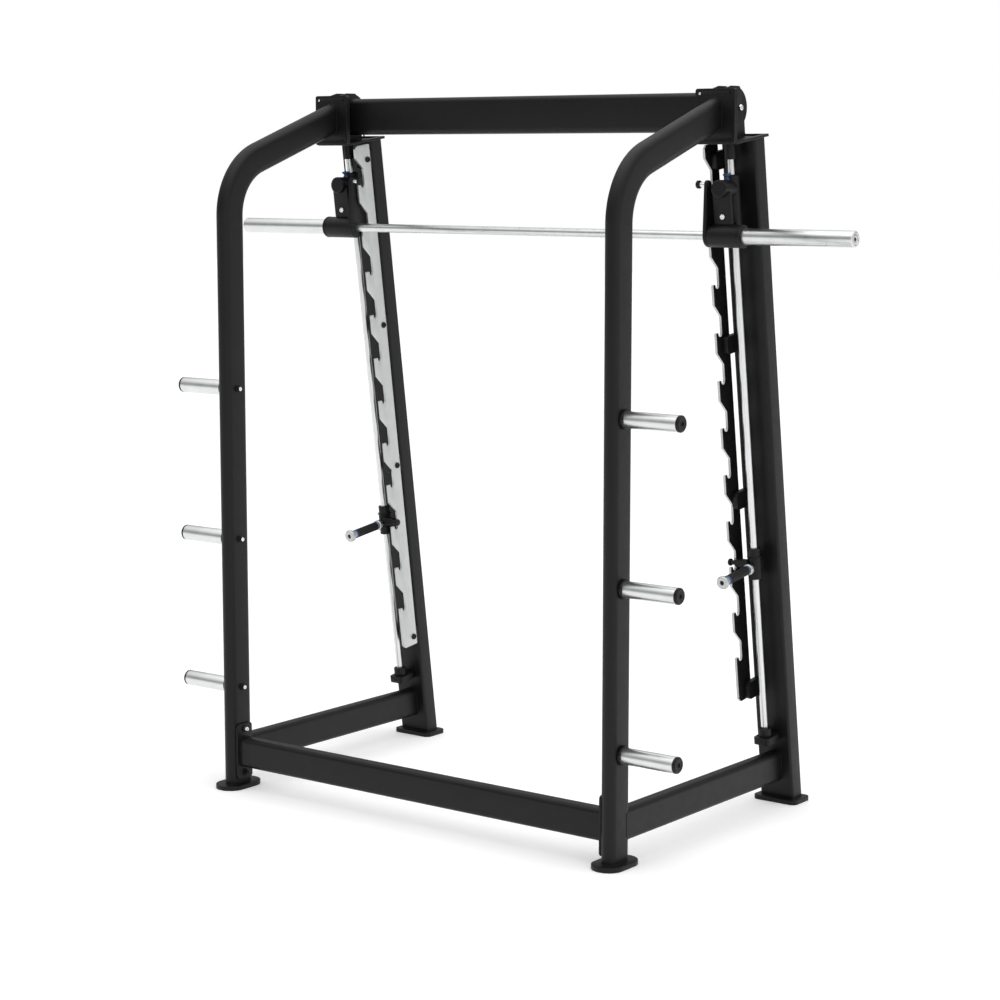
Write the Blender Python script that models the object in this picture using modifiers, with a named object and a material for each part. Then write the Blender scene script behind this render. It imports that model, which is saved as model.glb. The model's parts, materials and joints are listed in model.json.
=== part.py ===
"""Smith machine: two leaning guide columns joined to two bent front uprights, with a counterbalanced bar.

Metres, +Z up. X runs across the machine, along the bar, and Y from the front uprights to the rear posts.
The origin is on the floor, in the middle of the footprint.

Each leaning column has its own frame, an empty on the floor at the middle of its post's front face. Its Z runs
up the post, and its Y into the post. A place on a column is given by three lengths: inward, from the post's
middle towards the machine's middle; ahead, in front of the post's face; and up, along the post.
"""

import math

import bmesh
import bpy
from mathutils import Matrix, Vector

# Driving dimensions of the frame
HALF_WIDTH = 0.765  # machine's middle to the middle of each side frame
UPRIGHT_Y = -0.46175  # middle of the front uprights
POST_FACE_Y = 0.46565  # rear post's front face, at the floor
LEAN = math.radians(7.9)  # how far the rear posts lean forward
GAP = 0.0003  # left between pieces that touch
SIDES = {"left": -1, "right": 1}

# Front uprights: a flat-oval tube, bent to the rear near its top
TUBE_WIDE = 0.050
TUBE_DEEP = 0.100
TUBE_WALL = 0.003
BEND_RADIUS = 0.200
BEND_START = 1.889
BEND_TURN = math.radians(70.7)

# Foot plates and the horizontal beams
FOOT_THICK = 0.015
FRONT_FOOT = (0.103, 0.167)
REAR_FOOT = (0.160, 0.103)
REAR_FOOT_Y = 0.49375
BEAM_BOTTOM = 0.072
BEAM_TOP = 0.172
BEAM_WIDE = 0.050
BEAM_CORNER = 0.016
END_FLANGE = (0.070, 0.186, 0.008)
END_FLANGE_BOTTOM = 0.031

# Rear posts
POST_WIDE = 0.122
POST_DEEP = 0.060
POST_WALL = 0.003
POST_CORNER = 0.008

# Top joint: the upright's flange, the pulley bracket and the cross beam
FLANGE_Y = 0.03825  # flange's front face
FLANGE_WIDE = 0.140
FLANGE_BOTTOM = 2.119
FLANGE_TOP = 2.284
PLATE = 0.008
BOLT_HOLE = 0.005
BOLT_ACROSS = 0.055
BOLT_RISE = 0.0675
DECK_UP = 2.1545  # underside of the bracket's deck, which lies square across the leaning post
DECK_FRONT = 0.1196  # ahead
DECK_REAR = -0.068
DECK_WINDOW = (0.104, 0.050)
TOP_BEAM_Y = 0.12325
TOP_BEAM_DEEP = 0.060
TOP_BEAM_BOTTOM = 2.154
TOP_BEAM_TOP = 2.274
CHEEK_IN = 0.019
CHEEK_THICK = 0.006
CHEEK_TOP = 2.293

# Pulley and cable, in a column's frame
PULLEY_AHEAD = 0.0175
PULLEY_UP = 2.252
PULLEY_RADIUS = 0.063
CABLE_RADIUS = 0.0025
CABLE_PITCH = 0.0575  # from the pulley's axis to the cable's middle
AXLE_RADIUS = 0.008

# Guide rod and its ends, in a column's frame
ROD_AHEAD = 0.0475
ROD_RADIUS = 0.011
ROD_BOTTOM = 0.219
ROD_TOP = 2.135
CLAMP_BLOCK = (0.218, 0.242)
CLAMP_COLLAR_TOP = 0.269
SOCKET_BOTTOM = 2.101

# Hook rack, in a column's frame
RACK_IN = 0.061
RACK_THICK = 0.008
RACK_BACK = 0.018
RACK_VALLEY = 0.0595
RACK_TIP = 0.093
RACK_BOTTOM = 0.361
RACK_TOP = 2.1475
HOOKS = 11
HOOK_TOP = 2.0198  # lip of the highest hook
HOOK_PITCH = 0.151
NOTCH_AHEAD = 0.070
NOTCH_RADIUS = 0.009
NOTCH_DEEP = 0.0142
RACK_BOLT_AHEAD = 0.034
RACK_BOLT_HOLE = 0.005
LUG_UPS = (2.096, 1.523, 1.022, 0.390)

# Bar, its carriages and the latch arms, in a column's frame
BAR_AHEAD = 0.1077
BAR_UP = 1.8746
BAR_RADIUS = 0.014
BAR_HALF = 1.2145
HUB_RADIUS = 0.035
HUB_IN = 0.0458
HUB_OUT = 0.063
RIM_RADIUS = 0.0355
HOUSING_RADIUS = 0.0235
HOUSING_BOTTOM = 1.841
HOUSING_TOP = 2.052
DRUM_Z = 1.985
DRUM_RADIUS = 0.027
DRUM_FRONT_Y = 0.06205
DRUM_REAR_Y = 0.1283
BOSS_REAR_Y = 0.174
SLEEVE_RADIUS = 0.025
SLEEVE_START = 0.8358
SLEEVE_END = 1.218
ARM_REACH = 0.156
ARM_ANGLE = math.radians(-2.1)
ARM_OUTER = 0.0461
ARM_THICK = 0.0114
PIN_RADIUS = 0.0077

# Safety stops, in a column's frame
STOP_BOTTOM = 0.772
STOP_SPLIT = 0.8435
STOP_TOP = 0.872
STOP_RADIUS = 0.021
STOP_PIN_UP = 0.8236
STOP_HANDLE_UP = 0.8115

# Plate storage and counterweights
PEG_HEIGHTS = {"upper": 1.332, "middle": 0.836, "lower": 0.340}
PEG_RADIUS = 0.025
PEG_LENGTH = 0.199
WEIGHT_SIZE = (0.104, 0.046, 0.360)
WEIGHT_BOTTOM = 0.700

ROUND = 16  # sides of a round piece

FRAME_PAINT = ("frame_paint", (0.022, 0.022, 0.023), 0.42, 0.0)
FITTING_PAINT = ("fitting_paint", (0.016, 0.016, 0.017), 0.48, 0.0)
RACK_STEEL = ("rack_steel", (0.58, 0.59, 0.59), 0.34, 1.0)
CHROME = ("chrome", (0.80, 0.80, 0.81), 0.12, 1.0)
RUBBER = ("rubber", (0.020, 0.020, 0.020), 0.75, 0.0)
NYLON = ("nylon", (0.018, 0.018, 0.018), 0.50, 0.0)
CAST_WEIGHT = ("cast_weight", (0.060, 0.060, 0.062), 0.65, 0.3)
CABLE_COAT = ("cable_coat", (0.012, 0.012, 0.012), 0.40, 0.0)


def clear_scene():
    for item in list(bpy.data.objects):
        bpy.data.objects.remove(item, do_unlink=True)


def new_collection(name):
    collection = bpy.data.collections.new(name)
    bpy.context.scene.collection.children.link(collection)
    return collection


def material(finish):
    name, colour, roughness, metallic = finish
    made = bpy.data.materials.get(name)
    if made is None:
        made = bpy.data.materials.new(name)
        made.use_nodes = True
        shader = made.node_tree.nodes["Principled BSDF"]
        shader.inputs["Base Color"].default_value = (*colour, 1.0)
        shader.inputs["Roughness"].default_value = roughness
        shader.inputs["Metallic"].default_value = metallic
    return made


def add_piece(name, data, finish=None, parent=None):
    """Puts a mesh or a curve in the scene: a part if it has a finish, and a hidden cutter if not."""
    piece = bpy.data.objects.new(name, data)
    if finish is None:
        cutters.objects.link(piece)
        piece.hide_render = True
        piece.display_type = "WIRE"
    else:
        parts.objects.link(piece)
        piece.data.materials.append(material(finish))
    piece.parent = parent
    return piece


def turn_to(piece, origin, across, up):
    """Places a piece: its own X lies along across, and its own Y along up."""
    x_axis = Vector(across)
    y_axis = Vector(up)
    rotation = Matrix((x_axis, y_axis, x_axis.cross(y_axis))).transposed()
    piece.location = origin
    piece.rotation_euler = rotation.to_euler()
    return piece


# Outlines


def arc(centre, radius, start, end, steps):
    """Points along an arc, from the angle start to the angle end in degrees."""
    angles = [math.radians(start + (end - start) * i / steps) for i in range(steps + 1)]
    return [(centre[0] + radius * math.cos(a), centre[1] + radius * math.sin(a)) for a in angles]


def circle(centre, radius, sides=ROUND):
    return arc(centre, radius, 0, 360, sides)[:-1]


def rounded_box(wide, tall, corner, centre=(0, 0), steps=4):
    outline = []
    for turn, (sx, sy) in enumerate(((1, 1), (-1, 1), (-1, -1), (1, -1))):
        middle = (centre[0] + sx * (wide / 2 - corner), centre[1] + sy * (tall / 2 - corner))
        outline += arc(middle, corner, 90 * turn, 90 * turn + 90, steps)
    return outline


def wedge(big, small, distance, lean, steps=12):
    """Outline round two circles: one of radius big at 0,0, one of radius small at distance from it."""
    flare = math.degrees(math.acos((big - small) / distance))
    centre = (distance * math.sin(lean), distance * math.cos(lean))
    up = 90 - math.degrees(lean)
    tip = arc(centre, small, up - flare, up + flare, steps)
    return tip + arc((0, 0), big, up + flare, up + 360 - flare, steps)


# Solids


def plate(name, outlines, thick, finish=None, parent=None):
    """A flat outline, with holes where one outline is inside another, made thick either side of its plane."""
    data = bpy.data.curves.new(name, "CURVE")
    data.dimensions = "2D"
    data.fill_mode = "BOTH"
    data.extrude = thick / 2
    for outline in outlines:
        spline = data.splines.new("POLY")
        spline.points.add(len(outline) - 1)
        for point, (x, y) in zip(spline.points, outline):
            point.co = (x, y, 0, 1)
        spline.use_cyclic_u = True
    return add_piece(name, data, finish, parent)


def as_mesh(piece):
    """The same piece with its curve and modifiers turned into a welded mesh, so that it can be cut."""
    bpy.context.view_layer.update()
    graph = bpy.context.evaluated_depsgraph_get()
    mesh = bpy.data.meshes.new_from_object(piece.evaluated_get(graph))
    work = bmesh.new()
    work.from_mesh(mesh)
    bmesh.ops.remove_doubles(work, verts=work.verts, dist=0.000005)
    bmesh.ops.recalc_face_normals(work, faces=work.faces)
    work.to_mesh(mesh)
    work.free()
    solid = bpy.data.objects.new(piece.name, mesh)
    for collection in piece.users_collection:
        collection.objects.link(solid)
    solid.hide_render = piece.hide_render
    solid.display_type = piece.display_type
    solid.parent = piece.parent
    solid.location = piece.location
    solid.rotation_euler = piece.rotation_euler
    name = piece.name
    bpy.data.objects.remove(piece, do_unlink=True)
    solid.name = name
    return solid


def combine(piece, operation, *others):
    """Joins the others to a piece, or cuts them from it, with live Booleans."""
    for other in others:
        step = piece.modifiers.new(f"{operation.lower()} {other.name}", "BOOLEAN")
        step.operation = operation
        step.solver = "EXACT"
        step.object = other
    return piece


def block(name, low, high, finish=None, parent=None):
    """A box between two corners."""
    work = bmesh.new()
    bmesh.ops.create_cube(work, size=1)
    size = [b - a for a, b in zip(low, high)]
    middle = [(a + b) / 2 for a, b in zip(low, high)]
    bmesh.ops.scale(work, vec=size, verts=work.verts)
    mesh = bpy.data.meshes.new(name)
    work.to_mesh(mesh)
    work.free()
    piece = add_piece(name, mesh, finish, parent)
    piece.location = middle
    return piece


def bar(name, radius, start, end, along, finish=None, parent=None, sides=ROUND):
    """A round bar: start and end are its ends' distances along an axis of its parent, from along's point."""
    point, axis = along
    work = bmesh.new()
    bmesh.ops.create_cone(
        work, cap_ends=True, segments=sides, radius1=radius, radius2=radius, depth=end - start
    )
    mesh = bpy.data.meshes.new(name)
    work.to_mesh(mesh)
    work.free()
    mesh.shade_smooth()
    mesh.set_sharp_from_angle(angle=math.radians(40))
    piece = add_piece(name, mesh, finish, parent)
    direction = Vector(axis).normalized()
    piece.rotation_euler = direction.to_track_quat("Z", "Y").to_euler()
    piece.location = Vector(point) + direction * (start + end) / 2
    return piece


def turned(name, profile, along, finish, parent=None, steps=ROUND):
    """A turned piece: profile lists (radius, distance along the axis), down its outside and back up its bore."""
    point, axis = along
    mesh = bpy.data.meshes.new(name)
    closed = profile[0][0] > 0 and profile[-1][0] > 0
    count = len(profile)
    edges = [(i, i + 1) for i in range(count - 1)]
    if closed:
        edges.append((count - 1, 0))
    mesh.from_pydata([(radius, 0, height) for radius, height in profile], edges, [])
    piece = add_piece(name, mesh, finish, parent)
    spin = piece.modifiers.new("turn", "SCREW")
    spin.steps = steps
    spin.render_steps = steps
    spin.use_merge_vertices = True
    spin.merge_threshold = 0.00001
    spin.use_smooth_shade = True
    direction = Vector(axis).normalized()
    piece.rotation_euler = direction.to_track_quat("Z", "Y").to_euler()
    piece.location = point
    return piece


def across(side, inward, ahead, up):
    """A line across the machine in a column's frame, its distances measured inward."""
    return (side * -inward, -ahead, up), (-side, 0, 0)


def make_column(side_name, side):
    column = bpy.data.objects.new(f"{side_name}_column", None)
    parts.objects.link(column)
    column.location = (side * HALF_WIDTH, POST_FACE_Y, 0)
    column.rotation_euler = (LEAN, 0, 0)
    return column


def row_point(side, inward, ahead, up):
    """A place on a column, as row coordinates."""
    return Vector((
        side * (HALF_WIDTH - inward),
        POST_FACE_Y - ahead * math.cos(LEAN) - up * math.sin(LEAN),
        up * math.cos(LEAN) - ahead * math.sin(LEAN),
    ))


def up_at_height(ahead, height):
    """How far up a column a line parallel to the post is, where it reaches a height above the floor."""
    return (height + ahead * math.sin(LEAN)) / math.cos(LEAN)


# Frame


def oval(wide, deep, steps=6):
    """Flat-oval outline: straight sides joined by half circles, deep along its own X."""
    radius = wide / 2
    reach = deep / 2 - radius
    return arc((reach, 0), radius, -90, 90, steps) + arc((-reach, 0), radius, 90, 270, steps)


def upright_path():
    """Straight up, round the bend, and on past the flange, in the Y and Z of the side frame."""
    middle = (BEND_RADIUS, BEND_START)
    turn = math.degrees(BEND_TURN)
    bend = arc(middle, BEND_RADIUS, 180, 180 - turn, 8)
    run = 0.46
    last = bend[-1]
    tail = (last[0] + run * math.sin(BEND_TURN), last[1] + run * math.cos(BEND_TURN))
    return [(0, FOOT_THICK + GAP), *bend, tail]


def flange_outlines(centre_x=0.0):
    """A mating flange's outline, with its four bolt holes, about the flange's middle."""
    tall = FLANGE_TOP - FLANGE_BOTTOM
    outlines = [rounded_box(FLANGE_WIDE, tall, 0.008, (centre_x, 0), 3)]
    for sx in (-1, 1):
        for sy in (-1, 1):
            outlines.append(circle((centre_x + sx * BOLT_ACROSS, sy * BOLT_RISE), BOLT_HOLE, 12))
    return outlines


def make_upright(side_name, side):
    """The flat-oval tube with its top flange welded on. The tube stays open at the foot."""
    x = side * HALF_WIDTH
    section = bpy.data.curves.new("oval_section", "CURVE")
    section.dimensions = "2D"
    spline = section.splines.new("POLY")
    points = oval(TUBE_WIDE, TUBE_DEEP)
    spline.points.add(len(points) - 1)
    for point, (deep, wide) in zip(spline.points, points):
        point.co = (wide, deep, 0, 1)
    spline.use_cyclic_u = True
    section_piece = add_piece(f"{side_name}_oval_section", section)

    path = bpy.data.curves.new(f"{side_name}_front_upright", "CURVE")
    path.dimensions = "3D"
    path.bevel_mode = "OBJECT"
    path.bevel_object = section_piece
    route = path.splines.new("POLY")
    route_points = upright_path()
    route.points.add(len(route_points) - 1)
    for point, (y, z) in zip(route.points, route_points):
        point.co = (0, y, z, 1)
    tube = add_piece(f"{side_name}_front_upright", path, FRAME_PAINT)
    tube.location = (x, UPRIGHT_Y, 0)
    wall = tube.modifiers.new("wall", "SOLIDIFY")
    wall.thickness = TUBE_WALL
    wall.offset = -1
    wall.use_even_offset = True
    tube = as_mesh(tube)

    end = block(
        f"{side_name}_upright_end_cutter",
        (x - 0.2, FLANGE_Y + PLATE / 2, 1.9),
        (x + 0.2, FLANGE_Y + 0.3, 2.5),
    )
    flange = plate(f"{side_name}_upright_flange", flange_outlines(), PLATE)
    turn_to(flange, (x, FLANGE_Y + PLATE / 2, (FLANGE_BOTTOM + FLANGE_TOP) / 2), (1, 0, 0), (0, 0, 1))
    flange = as_mesh(flange)
    combine(tube, "DIFFERENCE", end)
    combine(tube, "UNION", flange)
    return tube


def make_foot(name, x, y, size, corner):
    foot = plate(name, [rounded_box(*size, corner, steps=6)], FOOT_THICK, FRAME_PAINT)
    foot.location = (x, y, FOOT_THICK / 2)
    return foot


def make_front_cross_beam():
    """A box beam with a bolting flange welded on each end. A hole in each flange keeps the hollow open."""
    reach = HALF_WIDTH - TUBE_WIDE / 2 - GAP
    flange_wide, flange_tall, flange_thick = END_FLANGE
    inner = reach - flange_thick / 2
    middle_z = (BEAM_BOTTOM + BEAM_TOP) / 2
    tall = BEAM_TOP - BEAM_BOTTOM
    outlines = [
        rounded_box(BEAM_WIDE, tall, BEAM_CORNER),
        rounded_box(BEAM_WIDE - 2 * TUBE_WALL, tall - 2 * TUBE_WALL, BEAM_CORNER - TUBE_WALL),
    ]
    beam = plate("front_cross_beam", outlines, 2 * inner, FRAME_PAINT)
    turn_to(beam, (0, UPRIGHT_Y, middle_z), (0, 1, 0), (0, 0, 1))
    beam = as_mesh(beam)
    rise = END_FLANGE_BOTTOM + flange_tall / 2 - middle_z
    for side_name, side in SIDES.items():
        shape = [rounded_box(flange_wide, flange_tall, 0.012, (0, rise), 3), circle((0, 0), 0.014, 12)]
        flange = plate(f"front_beam_{side_name}_flange", shape, flange_thick)
        turn_to(flange, (side * inner, UPRIGHT_Y, middle_z), (0, 1, 0), (0, 0, 1))
        combine(beam, "UNION", as_mesh(flange))
    return beam


def make_side_beam(side_name, side, column):
    """A box beam from the upright's round back to the leaning post's face, coped to fit both."""
    x = side * HALF_WIDTH
    tall = BEAM_TOP - BEAM_BOTTOM
    front = UPRIGHT_Y + TUBE_WIDE / 2
    rear = POST_FACE_Y + 0.03
    outlines = [
        rounded_box(BEAM_WIDE, tall, BEAM_CORNER),
        rounded_box(BEAM_WIDE - 2 * TUBE_WALL, tall - 2 * TUBE_WALL, BEAM_CORNER - TUBE_WALL),
    ]
    beam = plate(f"{side_name}_side_beam", outlines, rear - front, FRAME_PAINT)
    turn_to(beam, (x, (front + rear) / 2, (BEAM_BOTTOM + BEAM_TOP) / 2), (-1, 0, 0), (0, 0, 1))
    beam = as_mesh(beam)
    round_back = oval(TUBE_WIDE + 2 * GAP, TUBE_DEEP + 2 * GAP, 12)
    cope = plate(f"{side_name}_beam_front_cutter", [round_back], 0.3)
    turn_to(cope, (x, UPRIGHT_Y, 0.12), (0, 1, 0), (-1, 0, 0))
    rear_cutter = block(
        f"{side_name}_beam_rear_cutter", (-0.1, -GAP, -0.1), (0.1, 0.1, 0.5), parent=column
    )
    return combine(beam, "DIFFERENCE", as_mesh(cope), rear_cutter)


def make_post(side_name, column):
    """The leaning box post, cut level at the foot plate and square under the bracket's deck."""
    length = 2.3
    inner = (POST_WIDE - 2 * POST_WALL, POST_DEEP - 2 * POST_WALL)
    outlines = [
        rounded_box(POST_WIDE, POST_DEEP, POST_CORNER),
        rounded_box(*inner, POST_CORNER - POST_WALL),
    ]
    post = plate(f"{side_name}_rear_post", outlines, length, FRAME_PAINT, column)
    post.location = (0, POST_DEEP / 2, 1.05)
    post = as_mesh(post)
    level = block(f"{side_name}_post_trim", (-2, -2, -0.5), (2, 2, FOOT_THICK + GAP))
    square = block(f"{side_name}_post_top_trim", (-1, -1, DECK_UP - GAP), (1, 1, 3), parent=column)
    return combine(post, "DIFFERENCE", level, square)


def make_top_cross_beam():
    tall = TOP_BEAM_TOP - TOP_BEAM_BOTTOM
    outlines = [
        rounded_box(TOP_BEAM_DEEP, tall, 0.018),
        rounded_box(TOP_BEAM_DEEP - 2 * TUBE_WALL, tall - 2 * TUBE_WALL, 0.015),
    ]
    half = HALF_WIDTH - CHEEK_IN - CHEEK_THICK - GAP
    beam = plate("top_cross_beam", outlines, 2 * half, FRAME_PAINT)
    turn_to(beam, (0, TOP_BEAM_Y, (TOP_BEAM_BOTTOM + TOP_BEAM_TOP) / 2), (0, 1, 0), (0, 0, 1))
    return beam


def deck_height(y):
    """Height of the middle of the bracket's sloping deck."""
    return (DECK_UP + PLATE / 2 - (POST_FACE_Y - y) * math.sin(LEAN)) / math.cos(LEAN)


def make_bracket(side_name, side, column):
    """The welded bracket that joins upright, post and top beam, and holds the pulley between two cheeks."""
    x = side * HALF_WIDTH
    inside = FLANGE_Y + PLATE + GAP + PLATE / 2
    axle = row_point(side, 0, PULLEY_AHEAD, PULLEY_UP)
    face = plate(f"{side_name}_top_bracket", flange_outlines(), PLATE, FRAME_PAINT)
    turn_to(face, (x, inside, (FLANGE_BOTTOM + FLANGE_TOP) / 2), (1, 0, 0), (0, 0, 1))
    face = as_mesh(face)

    middle = (DECK_FRONT + DECK_REAR) / 2
    deck_shape = [
        rounded_box(FLANGE_WIDE + 0.002, DECK_FRONT - DECK_REAR, 0.004, (0, -middle), 2),
        rounded_box(*DECK_WINDOW, 0.006, (0, -DECK_REAR - 0.033), 3),
        circle((0, -PULLEY_AHEAD - CABLE_PITCH), 0.007, 12),
    ]
    deck = plate(f"{side_name}_bracket_deck", deck_shape, PLATE, parent=column)
    deck.location = (0, 0, DECK_UP + PLATE / 2)

    rear = UPRIGHT_Y + 0.632
    cheek_shape = [
        (inside, deck_height(inside)),
        (rear, deck_height(rear)),
        (UPRIGHT_Y + 0.616, 2.228),
        *arc((UPRIGHT_Y + 0.594, CHEEK_TOP - 0.010), 0.010, 10, 90, 3),
        (UPRIGHT_Y + 0.555, CHEEK_TOP),
        (inside, FLANGE_TOP - 0.002),
    ]
    axle_hole = circle((axle.y, axle.z), AXLE_RADIUS + GAP, 16)
    welded = [as_mesh(deck)]
    for label, inward in (("inner", CHEEK_IN), ("outer", -CHEEK_IN - CHEEK_THICK)):
        cheek = plate(f"{side_name}_{label}_cheek", [cheek_shape, axle_hole], CHEEK_THICK)
        turn_to(cheek, (x - side * (inward + CHEEK_THICK / 2), 0, 0), (0, 1, 0), (0, 0, 1))
        welded.append(as_mesh(cheek))
    return combine(face, "UNION", *welded)


def make_peg(side_name, side, level, height):
    """A plate storage peg: a capped tube with a collar at its root, open where it meets the upright."""
    wall = 0.004
    profile = [
        (0.0, PEG_LENGTH),
        (PEG_RADIUS - 0.0015, PEG_LENGTH),
        (PEG_RADIUS, PEG_LENGTH - 0.0015),
        (PEG_RADIUS, 0.010),
        (0.0295, 0.010),
        (0.0295, 0),
        (PEG_RADIUS - wall, 0),
        (PEG_RADIUS - wall, PEG_LENGTH - wall),
        (0.0, PEG_LENGTH - wall),
    ]
    root = (side * (HALF_WIDTH + TUBE_WIDE / 2 + GAP), UPRIGHT_Y, height)
    return turned(f"{side_name}_{level}_storage_peg", profile, (root, (side, 0, 0)), CHROME)


# Guide column


def make_rod(side_name, column):
    along = (0, -ROD_AHEAD, 0), (0, 0, 1)
    return bar(f"{side_name}_guide_rod", ROD_RADIUS, ROD_BOTTOM, ROD_TOP, along, CHROME, column)


def rod_bore(name, column, radius=ROD_RADIUS + GAP):
    return bar(name, radius, 0.1, 2.25, ((0, -ROD_AHEAD, 0), (0, 0, 1)), parent=column)


def make_lower_clamp(side_name, column):
    """The block bolted to the post's face that holds the rod's foot, with a round collar on it."""
    bottom, top = CLAMP_BLOCK
    reach = 0.076
    shape = rounded_box(0.058, reach, 0.010, (0, -reach / 2 - GAP), 3)
    clamp = plate(f"{side_name}_rod_lower_clamp", [shape], top - bottom, FITTING_PAINT, column)
    clamp.location = (0, 0, (top + bottom) / 2)
    clamp = as_mesh(clamp)
    along = (0, -ROD_AHEAD, 0), (0, 0, 1)
    name = f"{side_name}_clamp_collar"
    collar = bar(name, STOP_RADIUS, top - 0.002, CLAMP_COLLAR_TOP, along, parent=column)
    combine(clamp, "UNION", collar)
    return combine(clamp, "DIFFERENCE", rod_bore(f"{side_name}_clamp_bore", column))


def make_upper_socket(side_name, column):
    along = (0, -ROD_AHEAD, 0), (0, 0, 1)
    name = f"{side_name}_rod_upper_socket"
    socket = bar(name, 0.017, SOCKET_BOTTOM, DECK_UP - GAP, along, FITTING_PAINT, column)
    return combine(socket, "DIFFERENCE", rod_bore(f"{side_name}_socket_bore", column))


def hook_outline(tip_up):
    """One hook from its valley's top down to the valley below, as (ahead, up). tip_up is its lip's height."""
    slope_top = tip_up + 0.048
    groove = arc((NOTCH_AHEAD, tip_up - NOTCH_DEEP + NOTCH_RADIUS), NOTCH_RADIUS, 180, 360, 6)
    return [
        (RACK_VALLEY, slope_top),
        (RACK_VALLEY, tip_up - 0.003),
        *groove,
        (NOTCH_AHEAD + NOTCH_RADIUS + 0.0012, tip_up),
        (RACK_TIP - 0.002, tip_up),
        (RACK_TIP, tip_up - 0.002),
    ]


def rack_outline():
    outline = [
        (RACK_BACK, RACK_BOTTOM),
        (RACK_BACK, RACK_TOP - 0.006),
        (RACK_BACK + 0.006, RACK_TOP),
        (RACK_TIP - 0.012, RACK_TOP),
        (RACK_TIP, RACK_TOP - 0.010),
    ]
    for i in range(HOOKS):
        tip_up = HOOK_TOP - i * HOOK_PITCH
        outline += [(RACK_TIP, tip_up + 0.088), *hook_outline(tip_up)]
    return outline + [(RACK_TIP, RACK_BOTTOM + 0.012), (RACK_TIP - 0.012, RACK_BOTTOM)]


def make_rack(side_name, side, column):
    """The hook rack: a plate with eleven upturned hooks along its front edge."""
    bolts = [circle((RACK_BOLT_AHEAD, up), RACK_BOLT_HOLE, 10) for up in LUG_UPS]
    rack = plate(f"{side_name}_hook_rack", [rack_outline(), *bolts], RACK_THICK, RACK_STEEL, column)
    return turn_to(rack, (side * -(RACK_IN + RACK_THICK / 2), 0, 0), (0, -1, 0), (0, 0, 1))


def make_lug(side_name, side, column, number, up):
    """A block with a round nose that stands the rack off the post."""
    tall, thick = 0.056, 0.0197
    nose = 0.016
    reach = 0.064
    hole = circle((RACK_BOLT_AHEAD, 0), RACK_BOLT_HOLE, 10)
    shape = [
        (GAP, -tall / 2),
        (GAP, tall / 2),
        *arc((reach - nose, tall / 2 - nose), nose, 90, 0, 4),
        *arc((reach - nose, -tall / 2 + nose), nose, 0, -90, 4),
    ]
    lug = plate(f"{side_name}_rack_lug_{number}", [shape, hole], thick, FITTING_PAINT, column)
    return turn_to(lug, (side * -(RACK_IN - GAP - thick / 2), 0, up), (0, -1, 0), (0, 0, 1))


# Cable, pulley and counterweight


def make_pulley(side_name, side, column):
    half = 0.015
    profile = [
        (PULLEY_RADIUS, half - 0.003),
        (PULLEY_RADIUS, half - 0.007),
        (CABLE_PITCH - CABLE_RADIUS - GAP, 0.0032),
        (CABLE_PITCH - CABLE_RADIUS - GAP, -0.0032),
        (PULLEY_RADIUS, -half + 0.007),
        (PULLEY_RADIUS, -half + 0.003),
        (0.048, -half + 0.006),
        (0.018, -half + 0.006),
        (0.018, -half),
        (AXLE_RADIUS + GAP, -half),
        (AXLE_RADIUS + GAP, half),
        (0.018, half),
        (0.018, half - 0.006),
        (0.048, half - 0.006),
    ]
    along = across(side, 0, PULLEY_AHEAD, PULLEY_UP)
    return turned(f"{side_name}_pulley", profile, along, NYLON, column, 20)


def make_pulley_axle(side_name, side, column):
    """The bolt through both cheeks, with a round head outside and a nut inside."""
    reach = CHEEK_IN + CHEEK_THICK + GAP
    profile = [
        (0.0, reach + 0.009),
        (0.009, reach + 0.009),
        (0.010, reach + 0.007),
        (0.010, reach),
        (AXLE_RADIUS, reach),
        (AXLE_RADIUS, -reach),
        (0.0105, -reach),
        (0.0105, -reach - 0.006),
        (0.0095, -reach - 0.009),
        (0.0, -reach - 0.009),
    ]
    along = across(side, 0, PULLEY_AHEAD, PULLEY_UP)
    return turned(f"{side_name}_pulley_axle", profile, along, CHROME, column, 16)


def make_counterweight(side_name, column):
    """The steel block that runs inside the post, hung on the cable."""
    wide, deep, tall = WEIGHT_SIZE
    strand = PULLEY_AHEAD - CABLE_PITCH
    outlines = [rounded_box(wide, deep, 0.006, (0, POST_DEEP / 2 + strand), 2)]
    weight = plate(f"{side_name}_counterweight", outlines, tall, CAST_WEIGHT, column)
    weight.location = (0, -strand, WEIGHT_BOTTOM + tall / 2)
    return weight


def make_cable(side_name, column):
    """One cable: up from the carriage, over the pulley, and down inside the post to the weight."""
    front = PULLEY_AHEAD + CABLE_PITCH
    rear = PULLEY_AHEAD - CABLE_PITCH
    start_up = up_at_height(front, DRUM_Z + DRUM_RADIUS) + 2 * GAP
    over = arc((PULLEY_AHEAD, PULLEY_UP), CABLE_PITCH, 0, 180, 14)
    route = [(front, start_up), *over, (rear, WEIGHT_BOTTOM + WEIGHT_SIZE[2] + GAP)]
    data = bpy.data.curves.new(f"{side_name}_cable", "CURVE")
    data.dimensions = "3D"
    data.bevel_depth = CABLE_RADIUS
    data.bevel_resolution = 2
    data.use_fill_caps = True
    spline = data.splines.new("POLY")
    spline.points.add(len(route) - 1)
    for point, (ahead, up) in zip(spline.points, route):
        point.co = (0, -ahead, up, 1)
    return add_piece(f"{side_name}_cable", data, CABLE_COAT, column)


# Bar and carriages


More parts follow.
